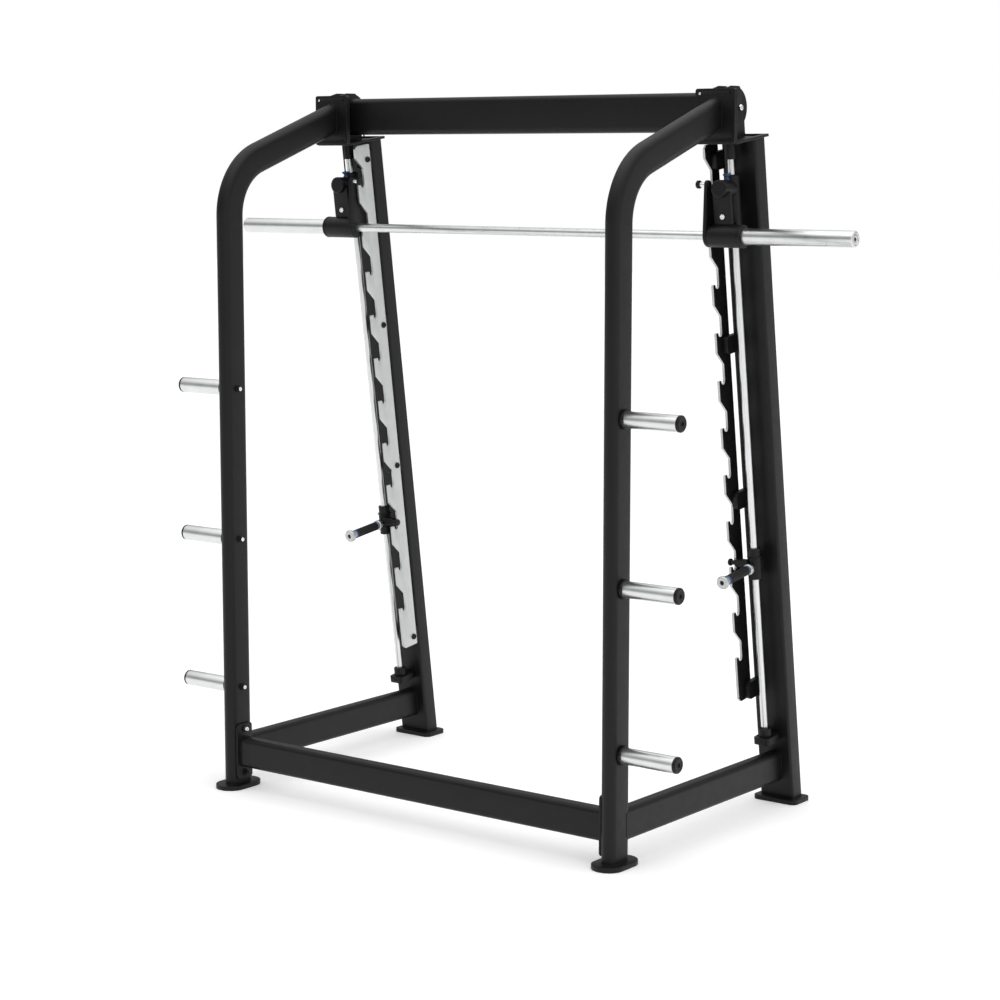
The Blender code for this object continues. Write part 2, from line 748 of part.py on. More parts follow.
def make_carriage(side_name, side, column):
    """The casting that slides on the rod: a tall bearing housing, a cross hub with a rim for the bar, and a boss."""
    rod_line = (0, -ROD_AHEAD, 0), (0, 0, 1)
    bar_line = across(side, 0, BAR_AHEAD, BAR_UP)
    name = f"{side_name}_carriage"
    housing = bar(name, HOUSING_RADIUS, HOUSING_BOTTOM, HOUSING_TOP, rod_line, FITTING_PAINT, column)
    hub = bar(f"{side_name}_hub", HUB_RADIUS, -HUB_OUT, HUB_IN, bar_line, parent=column, sides=20)
    rim_end = -(SLEEVE_START - GAP - HALF_WIDTH)
    rim = bar(f"{side_name}_hub_rim", RIM_RADIUS, rim_end, -HUB_OUT, bar_line, parent=column, sides=20)
    web = block(
        f"{side_name}_web",
        (-0.020, -BAR_AHEAD, BAR_UP - 0.028),
        (0.020, -ROD_AHEAD, BAR_UP + 0.030),
        parent=column,
    )
    boss_line = (side * HALF_WIDTH, 0, DRUM_Z), (0, 1, 0)
    boss = bar(f"{side_name}_boss", DRUM_RADIUS - 0.001, DRUM_REAR_Y + GAP, BOSS_REAR_Y, boss_line)
    bar_bore = bar(f"{side_name}_bar_bore", BAR_RADIUS + GAP, -0.2, 0.2, bar_line, parent=column)
    combine(housing, "UNION", hub, rim, web, boss)
    return combine(housing, "DIFFERENCE", rod_bore(f"{side_name}_carriage_bore", column), bar_bore)


def make_carriage_block(side_name, side, column):
    """The drum that anchors the cable, and the plate that ties it down to the hub."""
    name = f"{side_name}_cable_anchor"
    drum_line = (side * HALF_WIDTH, 0, DRUM_Z), (0, 1, 0)
    drum = bar(name, DRUM_RADIUS, DRUM_FRONT_Y, DRUM_REAR_Y, drum_line, FITTING_PAINT, sides=20)
    face = 0.112
    tie = block(
        f"{side_name}_anchor_plate",
        (-0.0315, -face, BAR_UP + HUB_RADIUS + GAP),
        (0.0315, -face + 0.011, BAR_UP + 0.135),
        parent=column,
    )
    stud_line = (0, 0, BAR_UP + 0.062), (0, -1, 0)
    stud = bar(f"{side_name}_anchor_stud", 0.012, 0.060, face - 0.002, stud_line, parent=column)
    clear_rod = rod_bore(f"{side_name}_anchor_cutter", column, HOUSING_RADIUS + GAP)
    combine(drum, "UNION", tie, stud)
    return combine(drum, "DIFFERENCE", clear_rod)


def make_bar():
    centre = row_point(1, 0, BAR_AHEAD, BAR_UP)
    return bar("bar_shaft", BAR_RADIUS, -BAR_HALF, BAR_HALF, ((0, centre.y, centre.z), (1, 0, 0)), CHROME)


def make_latch_arm(side_name, side, column):
    """The arm clamped on the bar inside each carriage, with the pin that drops into the rack's hooks."""
    name = f"{side_name}_latch_arm"
    shape = wedge(HUB_RADIUS, 0.0135, ARM_REACH, ARM_ANGLE)
    arm = plate(name, [shape, circle((0, 0), BAR_RADIUS + GAP)], ARM_THICK, FITTING_PAINT, column)
    turn_to(arm, (side * -(ARM_OUTER + ARM_THICK / 2), -BAR_AHEAD, BAR_UP), (0, -1, 0), (0, 0, 1))
    arm = as_mesh(arm)
    pin_ahead = BAR_AHEAD + ARM_REACH * math.sin(ARM_ANGLE)
    pin_up = BAR_UP + ARM_REACH * math.cos(ARM_ANGLE)
    line = across(side, 0, pin_ahead, pin_up)
    pin = bar(f"{side_name}_latch_pin", PIN_RADIUS, ARM_OUTER + 0.004, 0.088, line, parent=column)
    cap = bar(f"{side_name}_latch_cap", 0.0125, 0.080, 0.090, line, parent=column)
    return combine(arm, "UNION", pin, cap)


def make_sleeve(side_name, side):
    """The plate sleeve, a thick tube that spins on the shaft's end."""
    bore = BAR_RADIUS + GAP
    profile = [
        (SLEEVE_RADIUS - 0.001, SLEEVE_END),
        (SLEEVE_RADIUS, SLEEVE_END - 0.001),
        (SLEEVE_RADIUS, SLEEVE_START),
        (bore, SLEEVE_START),
        (bore, SLEEVE_END),
    ]
    centre = row_point(side, 0, BAR_AHEAD, BAR_UP)
    return turned(f"{side_name}_bar_sleeve", profile, ((0, centre.y, centre.z), (side, 0, 0)), CHROME)


# Safety stops


def make_stop_bush(side_name, column):
    """The stop's inner bush: a sleeve on the rod with a thin rim and a round cap above the collar."""
    sleeve = 0.0147
    bore = ROD_RADIUS + GAP
    profile = [
        (0.018, STOP_TOP),
        (0.019, STOP_TOP - 0.001),
        (0.019, STOP_SPLIT + 0.003),
        (0.0245, STOP_SPLIT + 0.003),
        (0.0245, STOP_SPLIT + GAP),
        (sleeve, STOP_SPLIT + GAP),
        (sleeve, STOP_BOTTOM),
        (bore, STOP_BOTTOM),
        (bore, STOP_TOP),
    ]
    return turned(f"{side_name}_stop_bush", profile, ((0, -ROD_AHEAD, 0), (0, 0, 1)), FITTING_PAINT, column)


def make_stop_collar(side_name, side, column):
    """The collar that swings on the bush, with an arm and a pin that catches in a hook of the rack."""
    rod_line = (0, -ROD_AHEAD, 0), (0, 0, 1)
    name = f"{side_name}_stop_collar"
    collar = bar(name, STOP_RADIUS, STOP_BOTTOM, STOP_SPLIT, rod_line, FITTING_PAINT, column)
    low = (side * -0.057, -0.0775, STOP_PIN_UP - 0.012)
    high = (side * -0.0112, -0.0555, STOP_PIN_UP + 0.012)
    arm = block(
        f"{side_name}_stop_arm",
        [min(a, b) for a, b in zip(low, high)],
        [max(a, b) for a, b in zip(low, high)],
        parent=column,
    )
    pin_line = across(side, 0, NOTCH_AHEAD, STOP_PIN_UP)
    pin = bar(f"{side_name}_stop_pin", PIN_RADIUS, 0.050, 0.079, pin_line, parent=column)
    cap = bar(f"{side_name}_stop_cap", 0.0115, 0.073, 0.081, pin_line, parent=column)
    bore = bar(f"{side_name}_stop_bore", 0.015, 0.7, 0.9, rod_line, parent=column)
    combine(collar, "UNION", arm, pin, cap)
    return combine(collar, "DIFFERENCE", bore)


def make_stop_handle(side_name, column):
    """The stop's handle: a base disc, a rubber grip and an end knob with a hole."""
    profile = [
        (0.0, 0.234),
        (0.006, 0.234),
        (0.006, 0.2445),
        (0.018, 0.2445),
        (0.021, 0.2415),
        (0.021, 0.233),
        (0.0125, 0.226),
        (0.0125, 0.212),
        (0.015, 0.212),
        (0.015, 0.100),
        (0.012, 0.100),
        (0.012, 0.095),
        (0.018, 0.093),
        (0.018, 0.080),
        (0.010, 0.078),
        (0.010, 0.0696),
        (0.0, 0.0696),
    ]
    along = (0, 0, STOP_HANDLE_UP), (0, -1, 0)
    return turned(f"{side_name}_stop_handle", profile, along, RUBBER, column)


def make_side(side_name, side):
    x = side * HALF_WIDTH
    column = make_column(side_name, side)
    make_upright(side_name, side)
    make_foot(f"{side_name}_front_foot", x, UPRIGHT_Y, FRONT_FOOT, FRONT_FOOT[0] / 2 - 0.0005)
    make_foot(f"{side_name}_rear_foot", x, REAR_FOOT_Y, REAR_FOOT, 0.020)
    make_side_beam(side_name, side, column)
    make_post(side_name, column)
    make_bracket(side_name, side, column)
    for level, height in PEG_HEIGHTS.items():
        make_peg(side_name, side, level, height)
    make_rod(side_name, column)
    make_lower_clamp(side_name, column)
    make_upper_socket(side_name, column)
    make_rack(side_name, side, column)
    for number, up in enumerate(LUG_UPS, start=1):
        make_lug(side_name, side, column, number, up)
    make_pulley(side_name, side, column)
    make_pulley_axle(side_name, side, column)
    make_counterweight(side_name, column)
    make_cable(side_name, column)
    make_carriage(side_name, side, column)
    make_carriage_block(side_name, side, column)
    make_latch_arm(side_name, side, column)
    make_sleeve(side_name, side)
    make_stop_bush(side_name, column)
    make_stop_collar(side_name, side, column)
    make_stop_handle(side_name, column)


clear_scene()
parts = new_collection("smith_machine")
cutters = new_collection("cutters")
make_front_cross_beam()
make_top_cross_beam()
make_bar()
for side_label, side_sign in SIDES.items():
    make_side(side_label, side_sign)
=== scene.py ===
"""The looks of the smith machine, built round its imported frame. Metres, +Z up, in the frame's own axes."""

import json
import math

import bmesh
import bpy
import numpy as np
from mathutils import Matrix, Vector


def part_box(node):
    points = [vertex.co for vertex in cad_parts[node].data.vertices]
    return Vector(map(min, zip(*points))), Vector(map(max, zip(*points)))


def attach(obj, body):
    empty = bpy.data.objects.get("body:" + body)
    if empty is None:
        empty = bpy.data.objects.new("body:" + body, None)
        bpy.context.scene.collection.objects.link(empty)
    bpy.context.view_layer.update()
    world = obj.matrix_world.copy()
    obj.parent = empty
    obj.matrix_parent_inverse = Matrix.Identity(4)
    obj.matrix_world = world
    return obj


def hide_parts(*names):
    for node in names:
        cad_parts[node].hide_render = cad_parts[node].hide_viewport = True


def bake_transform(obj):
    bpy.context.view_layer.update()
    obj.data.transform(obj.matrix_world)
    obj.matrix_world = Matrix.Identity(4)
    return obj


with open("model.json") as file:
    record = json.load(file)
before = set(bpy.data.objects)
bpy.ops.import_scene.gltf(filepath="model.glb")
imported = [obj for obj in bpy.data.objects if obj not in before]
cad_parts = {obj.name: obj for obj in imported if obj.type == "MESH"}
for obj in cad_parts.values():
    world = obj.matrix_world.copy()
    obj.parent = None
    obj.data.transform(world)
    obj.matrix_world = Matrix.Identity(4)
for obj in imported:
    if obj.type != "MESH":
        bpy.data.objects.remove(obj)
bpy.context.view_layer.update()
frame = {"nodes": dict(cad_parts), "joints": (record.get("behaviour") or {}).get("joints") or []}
joints = {joint["name"]: joint for joint in frame["joints"]}

SIDES = {"left": -1, "right": 1}

# Column frame: ahead of the post's face, and up along it
ROD_AHEAD = 0.0475
STOP_JOINT_UP = 0.8115
BAR_AHEAD = 0.1077
BAR_UP = 1.8746
PULLEY_AHEAD = 0.0175
PULLEY_UP = 2.252
UP_AXIS = Vector(joints["bar_slide"]["axis"]).normalized()
LEAN = math.atan2(-UP_AXIS.y, UP_AXIS.z)
AHEAD_AXIS = Vector((0, -math.cos(LEAN), -math.sin(LEAN)))

# Frame
TUBE_WIDE = 0.050
TUBE_DEEP = 0.100
BEND_RADIUS = 0.200
BEND_START = 1.889
BEND_TURN = math.radians(70.7)
BEAM_CORNER = 0.016
BEAM_MIDDLE = 0.122
BEAM_TALL = 0.100
TOP_BEAM_CORNER = 0.018
WELD_RADIUS = 0.0012
WELD_RIPPLE = 0.004
POST_WIDE = 0.122
POST_DEEP = 0.060
POST_CORNER = 0.008
POST_WALL = 0.003
PLATE = 0.008
BOLT_ACROSS = 0.055
BOLT_RISE = 0.0675
FLANGE_WIDE = 0.140
PEG_RADIUS = 0.025
PEG_CAP = 0.010
CHEEK_IN = 0.019
CHEEK_THICK = 0.006
DECK_UP = 2.1545
DECK_FRONT = 0.1196
DECK_REAR = -0.068
GAP = 0.0003

# Rack
RACK_BACK = 0.018
RACK_VALLEY = 0.0595
RACK_TIP = 0.093
RACK_BOTTOM = 0.361
RACK_TOP = 2.1475
HOOKS = 11
HOOK_TOP = 2.0198
HOOK_PITCH = 0.151
NOTCH_AHEAD = 0.070
NOTCH_RADIUS = 0.009
NOTCH_DEEP = 0.0142
LUG_UPS = (2.096, 1.523, 1.022, 0.390)
RACK_BOLT_AHEAD = 0.034
RACK_INWARD = 0.065
RACK_THICK = 0.008
LUG_SIZE = (0.0197, 0.064, 0.056)

# Carriage, latch and stop
ROD_RADIUS = 0.011
ROD_BORE = ROD_RADIUS + GAP
ROD_ENDS = (0.219, 2.135)
CLAMP_UP = 0.230
BAR_RADIUS = 0.014
BAR_BORE = BAR_RADIUS + GAP
HUB_RADIUS = 0.035
HOUSING = (1.841, 2.052)
SLEEVE_RADIUS = 0.025
SLEEVE_START = 0.8358
DRUM_Z = 1.985
DRUM_RADIUS = 0.027
ARM_REACH = 0.156
ARM_ANGLE = math.radians(-2.1)
ARM_INWARD = 0.0518
ARM_THICK = 0.0114
PIN_RADIUS = 0.0077
STOP_PIN_UP = 0.8236
STOP_BOTTOM = 0.772
STOP_SPLIT = 0.8435
STOP_TOP = 0.872
STOP_RADIUS = 0.021
CABLE_RADIUS = 0.0025
CABLE_PITCH = 0.0575
CABLE_FRONT = PULLEY_AHEAD + CABLE_PITCH
CABLE_REAR = PULLEY_AHEAD - CABLE_PITCH
CABLE_SIDES = np.linspace(0, 2 * math.pi, 16, endpoint=False)


def column(hand):
    """The empty column frame of one side: X across the machine, Y into the post, Z up it."""
    rod = Vector(joints[f"{hand}_stop_swing"]["pos_m"])
    origin = rod - AHEAD_AXIS * ROD_AHEAD - UP_AXIS * STOP_JOINT_UP
    return Matrix.Translation(origin) @ Matrix.Rotation(LEAN, 4, "X")


COLUMNS = {hand: column(hand) for hand in SIDES}
FRONT_FEET = {hand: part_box(f"{hand}_front_foot") for hand in SIDES}
UPRIGHT_X = {hand: (low.x + high.x) / 2 for hand, (low, high) in FRONT_FEET.items()}
UPRIGHT_Y = (FRONT_FEET["left"][0].y + FRONT_FEET["left"][1].y) / 2
POST_FACE_Y = COLUMNS["left"].translation.y
FOOT_TOP = FRONT_FEET["left"][1].z
FLANGE_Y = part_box("left_front_upright")[1].y - PLATE
FLANGE_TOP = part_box("left_front_upright")[1].z
FLANGE_BOTTOM = 2.119


def up_at_height(ahead, height):
    """How far up a column a line parallel to the post is, where it reaches a height."""
    return (height + ahead * math.sin(LEAN)) / math.cos(LEAN)


def deck_height(y):
    """Height of the middle of the bracket's deck, which lies square across the leaning post."""
    return (DECK_UP + PLATE / 2 - (POST_FACE_Y - y) * math.sin(LEAN)) / math.cos(LEAN)


# Shader node groups

SOCKET_KINDS = {"Place": "Vector", "Stretch": "Vector", "Normal": "Vector", "Colour": "Color"}


def add_node(tree, kind, inputs, operation=None):
    """A new node's outputs. Its inputs, by name or number, are values or other nodes' outputs."""
    node = tree.nodes.new(kind)
    if operation:
        node.operation = operation
    for key, value in inputs.items():
        if isinstance(value, bpy.types.NodeSocket):
            tree.links.new(value, node.inputs[key])
        else:
            node.inputs[key].default_value = value
    return node.outputs


def noise(tree, place, scale, detail=3.0):
    return add_node(tree, "ShaderNodeTexNoise", {"Vector": place, "Scale": scale, "Detail": detail})["Fac"]


def spread(tree, mask, low, high):
    """Maps a mask's middle band from low to high."""
    band = {"Value": mask, "From Min": 0.3, "From Max": 0.7, "To Min": low, "To Max": high}
    return add_node(tree, "ShaderNodeMapRange", band)["Result"]


def make_group(name, inputs, outputs):
    """An empty shader group with these sockets, and its inner ends: what it takes and what it gives."""
    group = bpy.data.node_groups.new(name, "ShaderNodeTree")
    for way, labels in (("INPUT", inputs), ("OUTPUT", outputs)):
        for label in labels:
            kind = "NodeSocket" + SOCKET_KINDS.get(label, "Float")
            group.interface.new_socket(name=label, in_out=way, socket_type=kind)
    return group, group.nodes.new("NodeGroupInput").outputs, group.nodes.new("NodeGroupOutput").inputs


def make_coat_group():
    """Powder coat: fine orange peel in the normal, and a slow drift of colour and roughness."""
    inputs = ("Place", "Colour", "Roughness", "Peel Scale", "Peel Height")
    group, taken, given = make_group("powder_coat", inputs, ("Colour", "Roughness", "Normal"))
    drift = noise(group, taken["Place"], 7.0)
    smudge = noise(group, taken["Place"], 40.0, 5.0)
    peel = noise(group, taken["Place"], taken["Peel Scale"], 2.0)
    drifting = {"Color": taken["Colour"], "Value": spread(group, drift, 0.90, 1.12)}
    tint = add_node(group, "ShaderNodeHueSaturation", drifting)
    smudged = {0: taken["Roughness"], 1: spread(group, smudge, -0.035, 0.045)}
    rough = add_node(group, "ShaderNodeMath", smudged)
    relief = {"Distance": 0.0004, "Strength": taken["Peel Height"], "Height": peel}
    bump = add_node(group, "ShaderNodeBump", relief)
    group.links.new(tint["Color"], given["Colour"])
    group.links.new(rough[0], given["Roughness"])
    group.links.new(bump["Normal"], given["Normal"])
    return group


def make_metal_group():
    """Worked metal: fine lines along one direction, with light handling marks in the roughness."""
    inputs = ("Place", "Stretch", "Roughness", "Marks", "Line Height")
    group, taken, given = make_group("worked_metal", inputs, ("Roughness", "Normal", "Marks"))
    scaled = {0: taken["Place"], 1: taken["Stretch"]}
    stretched = add_node(group, "ShaderNodeVectorMath", scaled, "MULTIPLY")
    lines = noise(group, stretched[0], 1.0, 4.0)
    marks = noise(group, taken["Place"], 26.0, 6.0)
    marked = {0: spread(group, marks, -1.0, 1.0), 1: taken["Marks"], 2: taken["Roughness"]}
    rough = add_node(group, "ShaderNodeMath", marked, "MULTIPLY_ADD")
    relief = {"Distance": 0.0003, "Strength": taken["Line Height"], "Height": lines}
    bump = add_node(group, "ShaderNodeBump", relief)
    group.links.new(rough[0], given["Roughness"])
    group.links.new(bump["Normal"], given["Normal"])
    group.links.new(marks, given["Marks"])
    return group


POWDER_COAT = make_coat_group()
WORKED_METAL = make_metal_group()


# Materials

COAT_SPECULAR = 0.25


def grouped_material(name, group, values):
    """A material whose shader reads its roughness and normal from a group on Object coordinates."""
    made = bpy.data.materials.new(f"{name}_look")
    made.use_nodes = True
    tree = made.node_tree
    shader = tree.nodes["Principled BSDF"]
    effect = tree.nodes.new("ShaderNodeGroup")
    effect.node_tree = group
    tree.links.new(tree.nodes.new("ShaderNodeTexCoord").outputs["Object"], effect.inputs["Place"])
    for label, value in values.items():
        effect.inputs[label].default_value = value
    for label in ("Roughness", "Normal"):
        tree.links.new(effect.outputs[label], shader.inputs[label])
    return made, tree, shader, effect.outputs


def coated(name, colour, roughness, peel_scale, peel_height):
    """A painted or moulded finish."""
    values = {"Colour": (*colour, 1), "Roughness": roughness}
    values |= {"Peel Scale": peel_scale, "Peel Height": peel_height}
    made, tree, shader, given = grouped_material(name, POWDER_COAT, values)
    tree.links.new(given["Colour"], shader.inputs["Base Color"])
    shader.inputs["Specular IOR Level"].default_value = COAT_SPECULAR
    return made


def metal(name, colour, roughness, stretch, marks, line_height):
    """A bare or plated metal finish, its lines running along its smallest stretch."""
    values = {"Stretch": stretch, "Roughness": roughness, "Marks": marks, "Line Height": line_height}
    made, tree, shader, given = grouped_material(name, WORKED_METAL, values)
    shade = {"Color": (*colour, 1), "Value": spread(tree, given["Marks"], 0.94, 1.03)}
    tree.links.new(add_node(tree, "ShaderNodeHueSaturation", shade)["Color"], shader.inputs["Base Color"])
    shader.inputs["Metallic"].default_value = 1.0
    return made


# Colour, roughness, peel scale, peel height
COATS = {
    "frame_paint": ((0.0052, 0.0052, 0.0054), 0.40, 900.0, 0.12),
    "fitting_paint": ((0.0046, 0.0046, 0.0048), 0.45, 1400.0, 0.10),
    "rack_paint": ((0.0042, 0.0042, 0.0044), 0.46, 1400.0, 0.10),
    "grip_rubber": ((0.010, 0.010, 0.011), 0.60, 700.0, 0.35),
    "blue_ring": ((0.06, 0.13, 0.32), 0.38, 1200.0, 0.05),
    "blue_fitting": ((0.035, 0.070, 0.16), 0.40, 1200.0, 0.05),
    "black_plastic": ((0.0048, 0.0048, 0.0050), 0.38, 1500.0, 0.12),
    "cast_weight": ((0.040, 0.040, 0.042), 0.65, 260.0, 0.6),
    "cable_coat": ((0.006, 0.006, 0.006), 0.35, 1600.0, 0.1),
}
# Colour, roughness, stretch, marks, line height
METALS = {
    "rack_steel": ((0.62, 0.63, 0.63), 0.52, (900.0, 900.0, 14.0), 0.02, 0.02),
    "peg_chrome": ((0.72, 0.73, 0.73), 0.32, (25.0, 700.0, 700.0), 0.02, 0.008),
    "chrome": ((0.70, 0.71, 0.71), 0.29, (25.0, 700.0, 700.0), 0.02, 0.006),
    "rod_chrome": ((0.74, 0.75, 0.75), 0.31, (700.0, 700.0, 30.0), 0.02, 0.006),
    "bright_bolt": ((0.84, 0.84, 0.83), 0.24, (400.0, 400.0, 400.0), 0.05, 0.03),
    "satin_chrome": ((0.56, 0.57, 0.57), 0.40, (400.0, 400.0, 400.0), 0.03, 0.01),
}
FINISH = {name: coated(name, *look) for name, look in COATS.items()}
FINISH |= {name: metal(name, *look) for name, look in METALS.items()}


# Mesh making


def finish_piece(piece, finish, body, *replaced, sharp=35):
    """Shades, paints and mounts a piece, and hides the CAD nodes that it stands for."""
    mesh = piece.data
    mesh.materials.clear()
    mesh.materials.append(FINISH[finish])
    mesh.shade_smooth()
    mesh.set_sharp_from_angle(angle=math.radians(sharp))
    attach(piece, body)
    if replaced:
        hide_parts(*replaced)
    return piece


def link_object(name, data):
    made = bpy.data.objects.new(name, data)
    bpy.context.scene.collection.objects.link(made)
    return made


def settle(work, mesh, place):
    """Puts a working mesh in place with its faces outwards, and writes it to the mesh."""
    bmesh.ops.recalc_face_normals(work, faces=work.faces)
    if place is not None:
        bmesh.ops.transform(work, matrix=place, verts=work.verts)
    if work.calc_volume(signed=True) < 0:
        bmesh.ops.reverse_faces(work, faces=work.faces)
    work.to_mesh(mesh)
    work.free()


def add_mesh(name, points, faces, place=None):
    """Puts points and faces into a mesh, merged at its poles and seams."""
    mesh = bpy.data.meshes.new(name)
    mesh.from_pydata(np.asarray(points, float).reshape(-1, 3).tolist(), [], faces)
    work = bmesh.new()
    work.from_mesh(mesh)
    bmesh.ops.remove_doubles(work, verts=work.verts, dist=1e-7)
    bmesh.ops.dissolve_degenerate(work, edges=work.edges, dist=1e-7)
    settle(work, mesh, place)
    return link_object(name, mesh)


def skin(name, rings, place=None, closed=False):
    """A surface over rings of points, shape (rings, around, 3), its ends capped unless the rings close."""
    count, around = rings.shape[:2]
    row = np.arange(around)
    following = np.roll(row, -1)
    last = count if closed else count - 1
    start = np.arange(last)[:, None] * around
    onward = (np.arange(last)[:, None] + 1) % count * around
    faces = np.stack([start + row, start + following, onward + following, onward + row], axis=-1)
    faces = faces.reshape(-1, 4).tolist()
    if not closed:
        faces.append(row[::-1].tolist())
        faces.append((row + (count - 1) * around).tolist())
    return add_mesh(name, rings, faces, place)


def arc(centre, radius, start, end, steps):
    """Points along an arc, from the angle start to the angle end in degrees."""
    angles = np.radians(np.linspace(start, end, steps + 1))
    return np.stack([centre[0] + radius * np.cos(angles), centre[1] + radius * np.sin(angles)], axis=1)


def circle(centre, radius, sides=40):
    return arc(centre, radius, 0, 360, sides)[:-1]


def rounded_box(wide, tall, corner, centre=(0, 0), steps=8):
    """A rectangle whose corners are quarter circles."""
    turns = []
    for turn, (sx, sy) in enumerate(((1, 1), (-1, 1), (-1, -1), (1, -1))):
        middle = (centre[0] + sx * (wide / 2 - corner), centre[1] + sy * (tall / 2 - corner))
        turns.append(arc(middle, corner, 90 * turn, 90 * turn + 90, steps))
    return np.concatenate(turns)


def oval(wide, deep, steps=20):
    """Two half circles joined by straight sides, as (across, along)."""
    reach = deep / 2 - wide / 2
    front = arc((0, reach), wide / 2, 0, 180, steps)
    back = arc((0, -reach), wide / 2, 180, 360, steps)
    return np.concatenate([front, back])


def wedge(big, small, distance, lean, steps=24):
    """The tangent outline round two circles, the small one at distance along a leaning line."""
    flare = math.degrees(math.acos((big - small) / distance))
    centre = (distance * math.sin(lean), distance * math.cos(lean))
    up = 90 - math.degrees(lean)
    return np.concatenate([
        arc(centre, small, up - flare, up + flare, steps),
        arc((0, 0), big, up + flare, up + 360 - flare, 2 * steps),
    ])


def rounded_profile(profile, edge, steps=3):
    """The same profile with each corner that turns cut back by edge and bridged by a parabola."""
    points = [np.array(p, float) for p in profile]
    result = [points[0]]
    for before, here, after in zip(points, points[1:], points[2:]):
        to_before, to_after = before - here, after - here
        cut = min(edge, 0.45 * np.linalg.norm(to_before), 0.45 * np.linalg.norm(to_after))
        first = here + to_before / max(np.linalg.norm(to_before), 1e-9) * cut
        second = here + to_after / max(np.linalg.norm(to_after), 1e-9) * cut
        for t in np.linspace(0, 1, steps + 1):
            result.append((1 - t) ** 2 * first + 2 * t * (1 - t) * here + t**2 * second)
    result.append(points[-1])
    return np.array(result)


def axis_place(point, axis):
    """Turns Z onto the axis and carries the origin to the point."""
    turn = Vector(axis).normalized().to_track_quat("Z", "Y")
    return Matrix.Translation(Vector(point)) @ turn.to_matrix().to_4x4()


def turned(name, profile, point, axis, finish, body, *replaced, edge=0.0008, sides=56):
    """A lathe form: profile's (radius, distance) points carried round the axis, edges eased."""
    shape = np.array(profile, float) if edge == 0 else rounded_profile(profile, edge)
    turn = np.linspace(0, 2 * math.pi, sides, endpoint=False)
    radius = shape[:, 0][:, None]
    along = np.broadcast_to(shape[:, 1][:, None], (len(shape), sides))
    rings = np.stack([radius * np.cos(turn), radius * np.sin(turn), along], axis=-1)
    return finish_piece(skin(name, rings, axis_place(point, axis)), finish, body, *replaced)


def disc_profile(radius, low, high):
    return [(0, low), (radius, low), (radius, high), (0, high)]


def ring_profile(outer, inner, low, high):
    return [(inner, low), (outer, low), (outer, high), (inner, high), (inner, low)]


def frame_matrix(origin, across, up):
    x_axis = Vector(across)
    y_axis = Vector(up)
    matrix = Matrix((x_axis, y_axis, x_axis.cross(y_axis))).transposed().to_4x4()
    return Matrix.Translation(Vector(origin)) @ matrix


def plate(name, outlines, thick, place, finish, body, *replaced, edge=0.0010):
    """A flat outline with its holes, given thickness and eased edges."""
    data = bpy.data.curves.new(name, "CURVE")
    data.dimensions = "2D"
    data.fill_mode = "BOTH"
    data.extrude = thick / 2 - edge
    data.bevel_depth = edge
    data.bevel_resolution = 2
    data.offset = -edge
    for outline in outlines:
        spline = data.splines.new("POLY")
        spline.points.add(len(outline) - 1)
        for point, (x, y) in zip(spline.points, outline):
            point.co = (x, y, 0, 1)
        spline.use_cyclic_u = True
    drawn = link_object(f"{name}_outline", data)
    bpy.context.view_layer.update()
    graph = bpy.context.evaluated_depsgraph_get()
    mesh = bpy.data.meshes.new_from_object(drawn.evaluated_get(graph))
    bpy.data.objects.remove(drawn, do_unlink=True)
    work = bmesh.new()
    work.from_mesh(mesh)
    bmesh.ops.remove_doubles(work, verts=work.verts, dist=2e-6)
    settle(work, mesh, place)
    mesh.name = name
    return finish_piece(link_object(name, mesh), finish, body, *replaced)


def weld_bead(name, loop):
    """A weld: a small round section carried round a closed loop, its radius rippling along the way."""
    loop = evenly(loop)
    along = np.roll(loop, -1, axis=0) - np.roll(loop, 1, axis=0)
    along /= np.linalg.norm(along, axis=1, keepdims=True)
    outward = loop - loop.mean(axis=0)
    outward -= (outward * along).sum(axis=1, keepdims=True) * along
    outward /= np.linalg.norm(outward, axis=1, keepdims=True)
    third = np.cross(along, outward)
    steps = np.linalg.norm(np.diff(loop, axis=0, append=loop[:1]), axis=1)
    ripple = 1 + 0.10 * np.sin(np.cumsum(steps) * 2 * math.pi / WELD_RIPPLE)
    turn = np.linspace(0, 2 * math.pi, 10, endpoint=False)
    section = WELD_RADIUS * ripple[:, None, None] * (
        np.cos(turn)[None, :, None] * outward[:, None, :] + np.sin(turn)[None, :, None] * third[:, None, :]
    )
    bead = skin(name, loop[:, None, :] + section, closed=True)
    return finish_piece(bead, "frame_paint", "frame", sharp=80)


def evenly(loop, spacing=0.0012):
    """The same closed loop with points at even spacing, so that a ripple can follow it."""
    loop = np.asarray(loop, float)
    closed = np.vstack([loop, loop[:1]])
    lengths = np.concatenate([[0], np.cumsum(np.linalg.norm(np.diff(closed, axis=0), axis=1))])
    wanted = np.linspace(0, lengths[-1], int(lengths[-1] / spacing), endpoint=False)
    return np.stack([np.interp(wanted, lengths, closed[:, k]) for k in range(3)], axis=1)


def slide_to(points, direction, plane_point, plane_normal):
    """Moves points along a direction onto a plane."""
    direction = np.asarray(direction, float)
    normal = np.asarray(plane_normal, float)
    distance = ((np.asarray(plane_point, float) - points) @ normal) / (direction @ normal)
    return points + distance[:, None] * direction


def round_bolt(name, point, axis, radius, height, finish, body, socket=0.45):
    """A round head with a domed edge and a socket in its middle."""
    hole = radius * socket
    profile = [
        (0, 0),
        (radius, 0),
        (radius, height * 0.45),
        (radius * 0.86, height * 0.85),
        (radius * 0.66, height),
        (hole, height),
        (hole * 0.92, height * 0.45),
        (0, height * 0.35),
    ]
    return turned(name, profile, point, axis, finish, body, edge=radius * 0.08, sides=32)


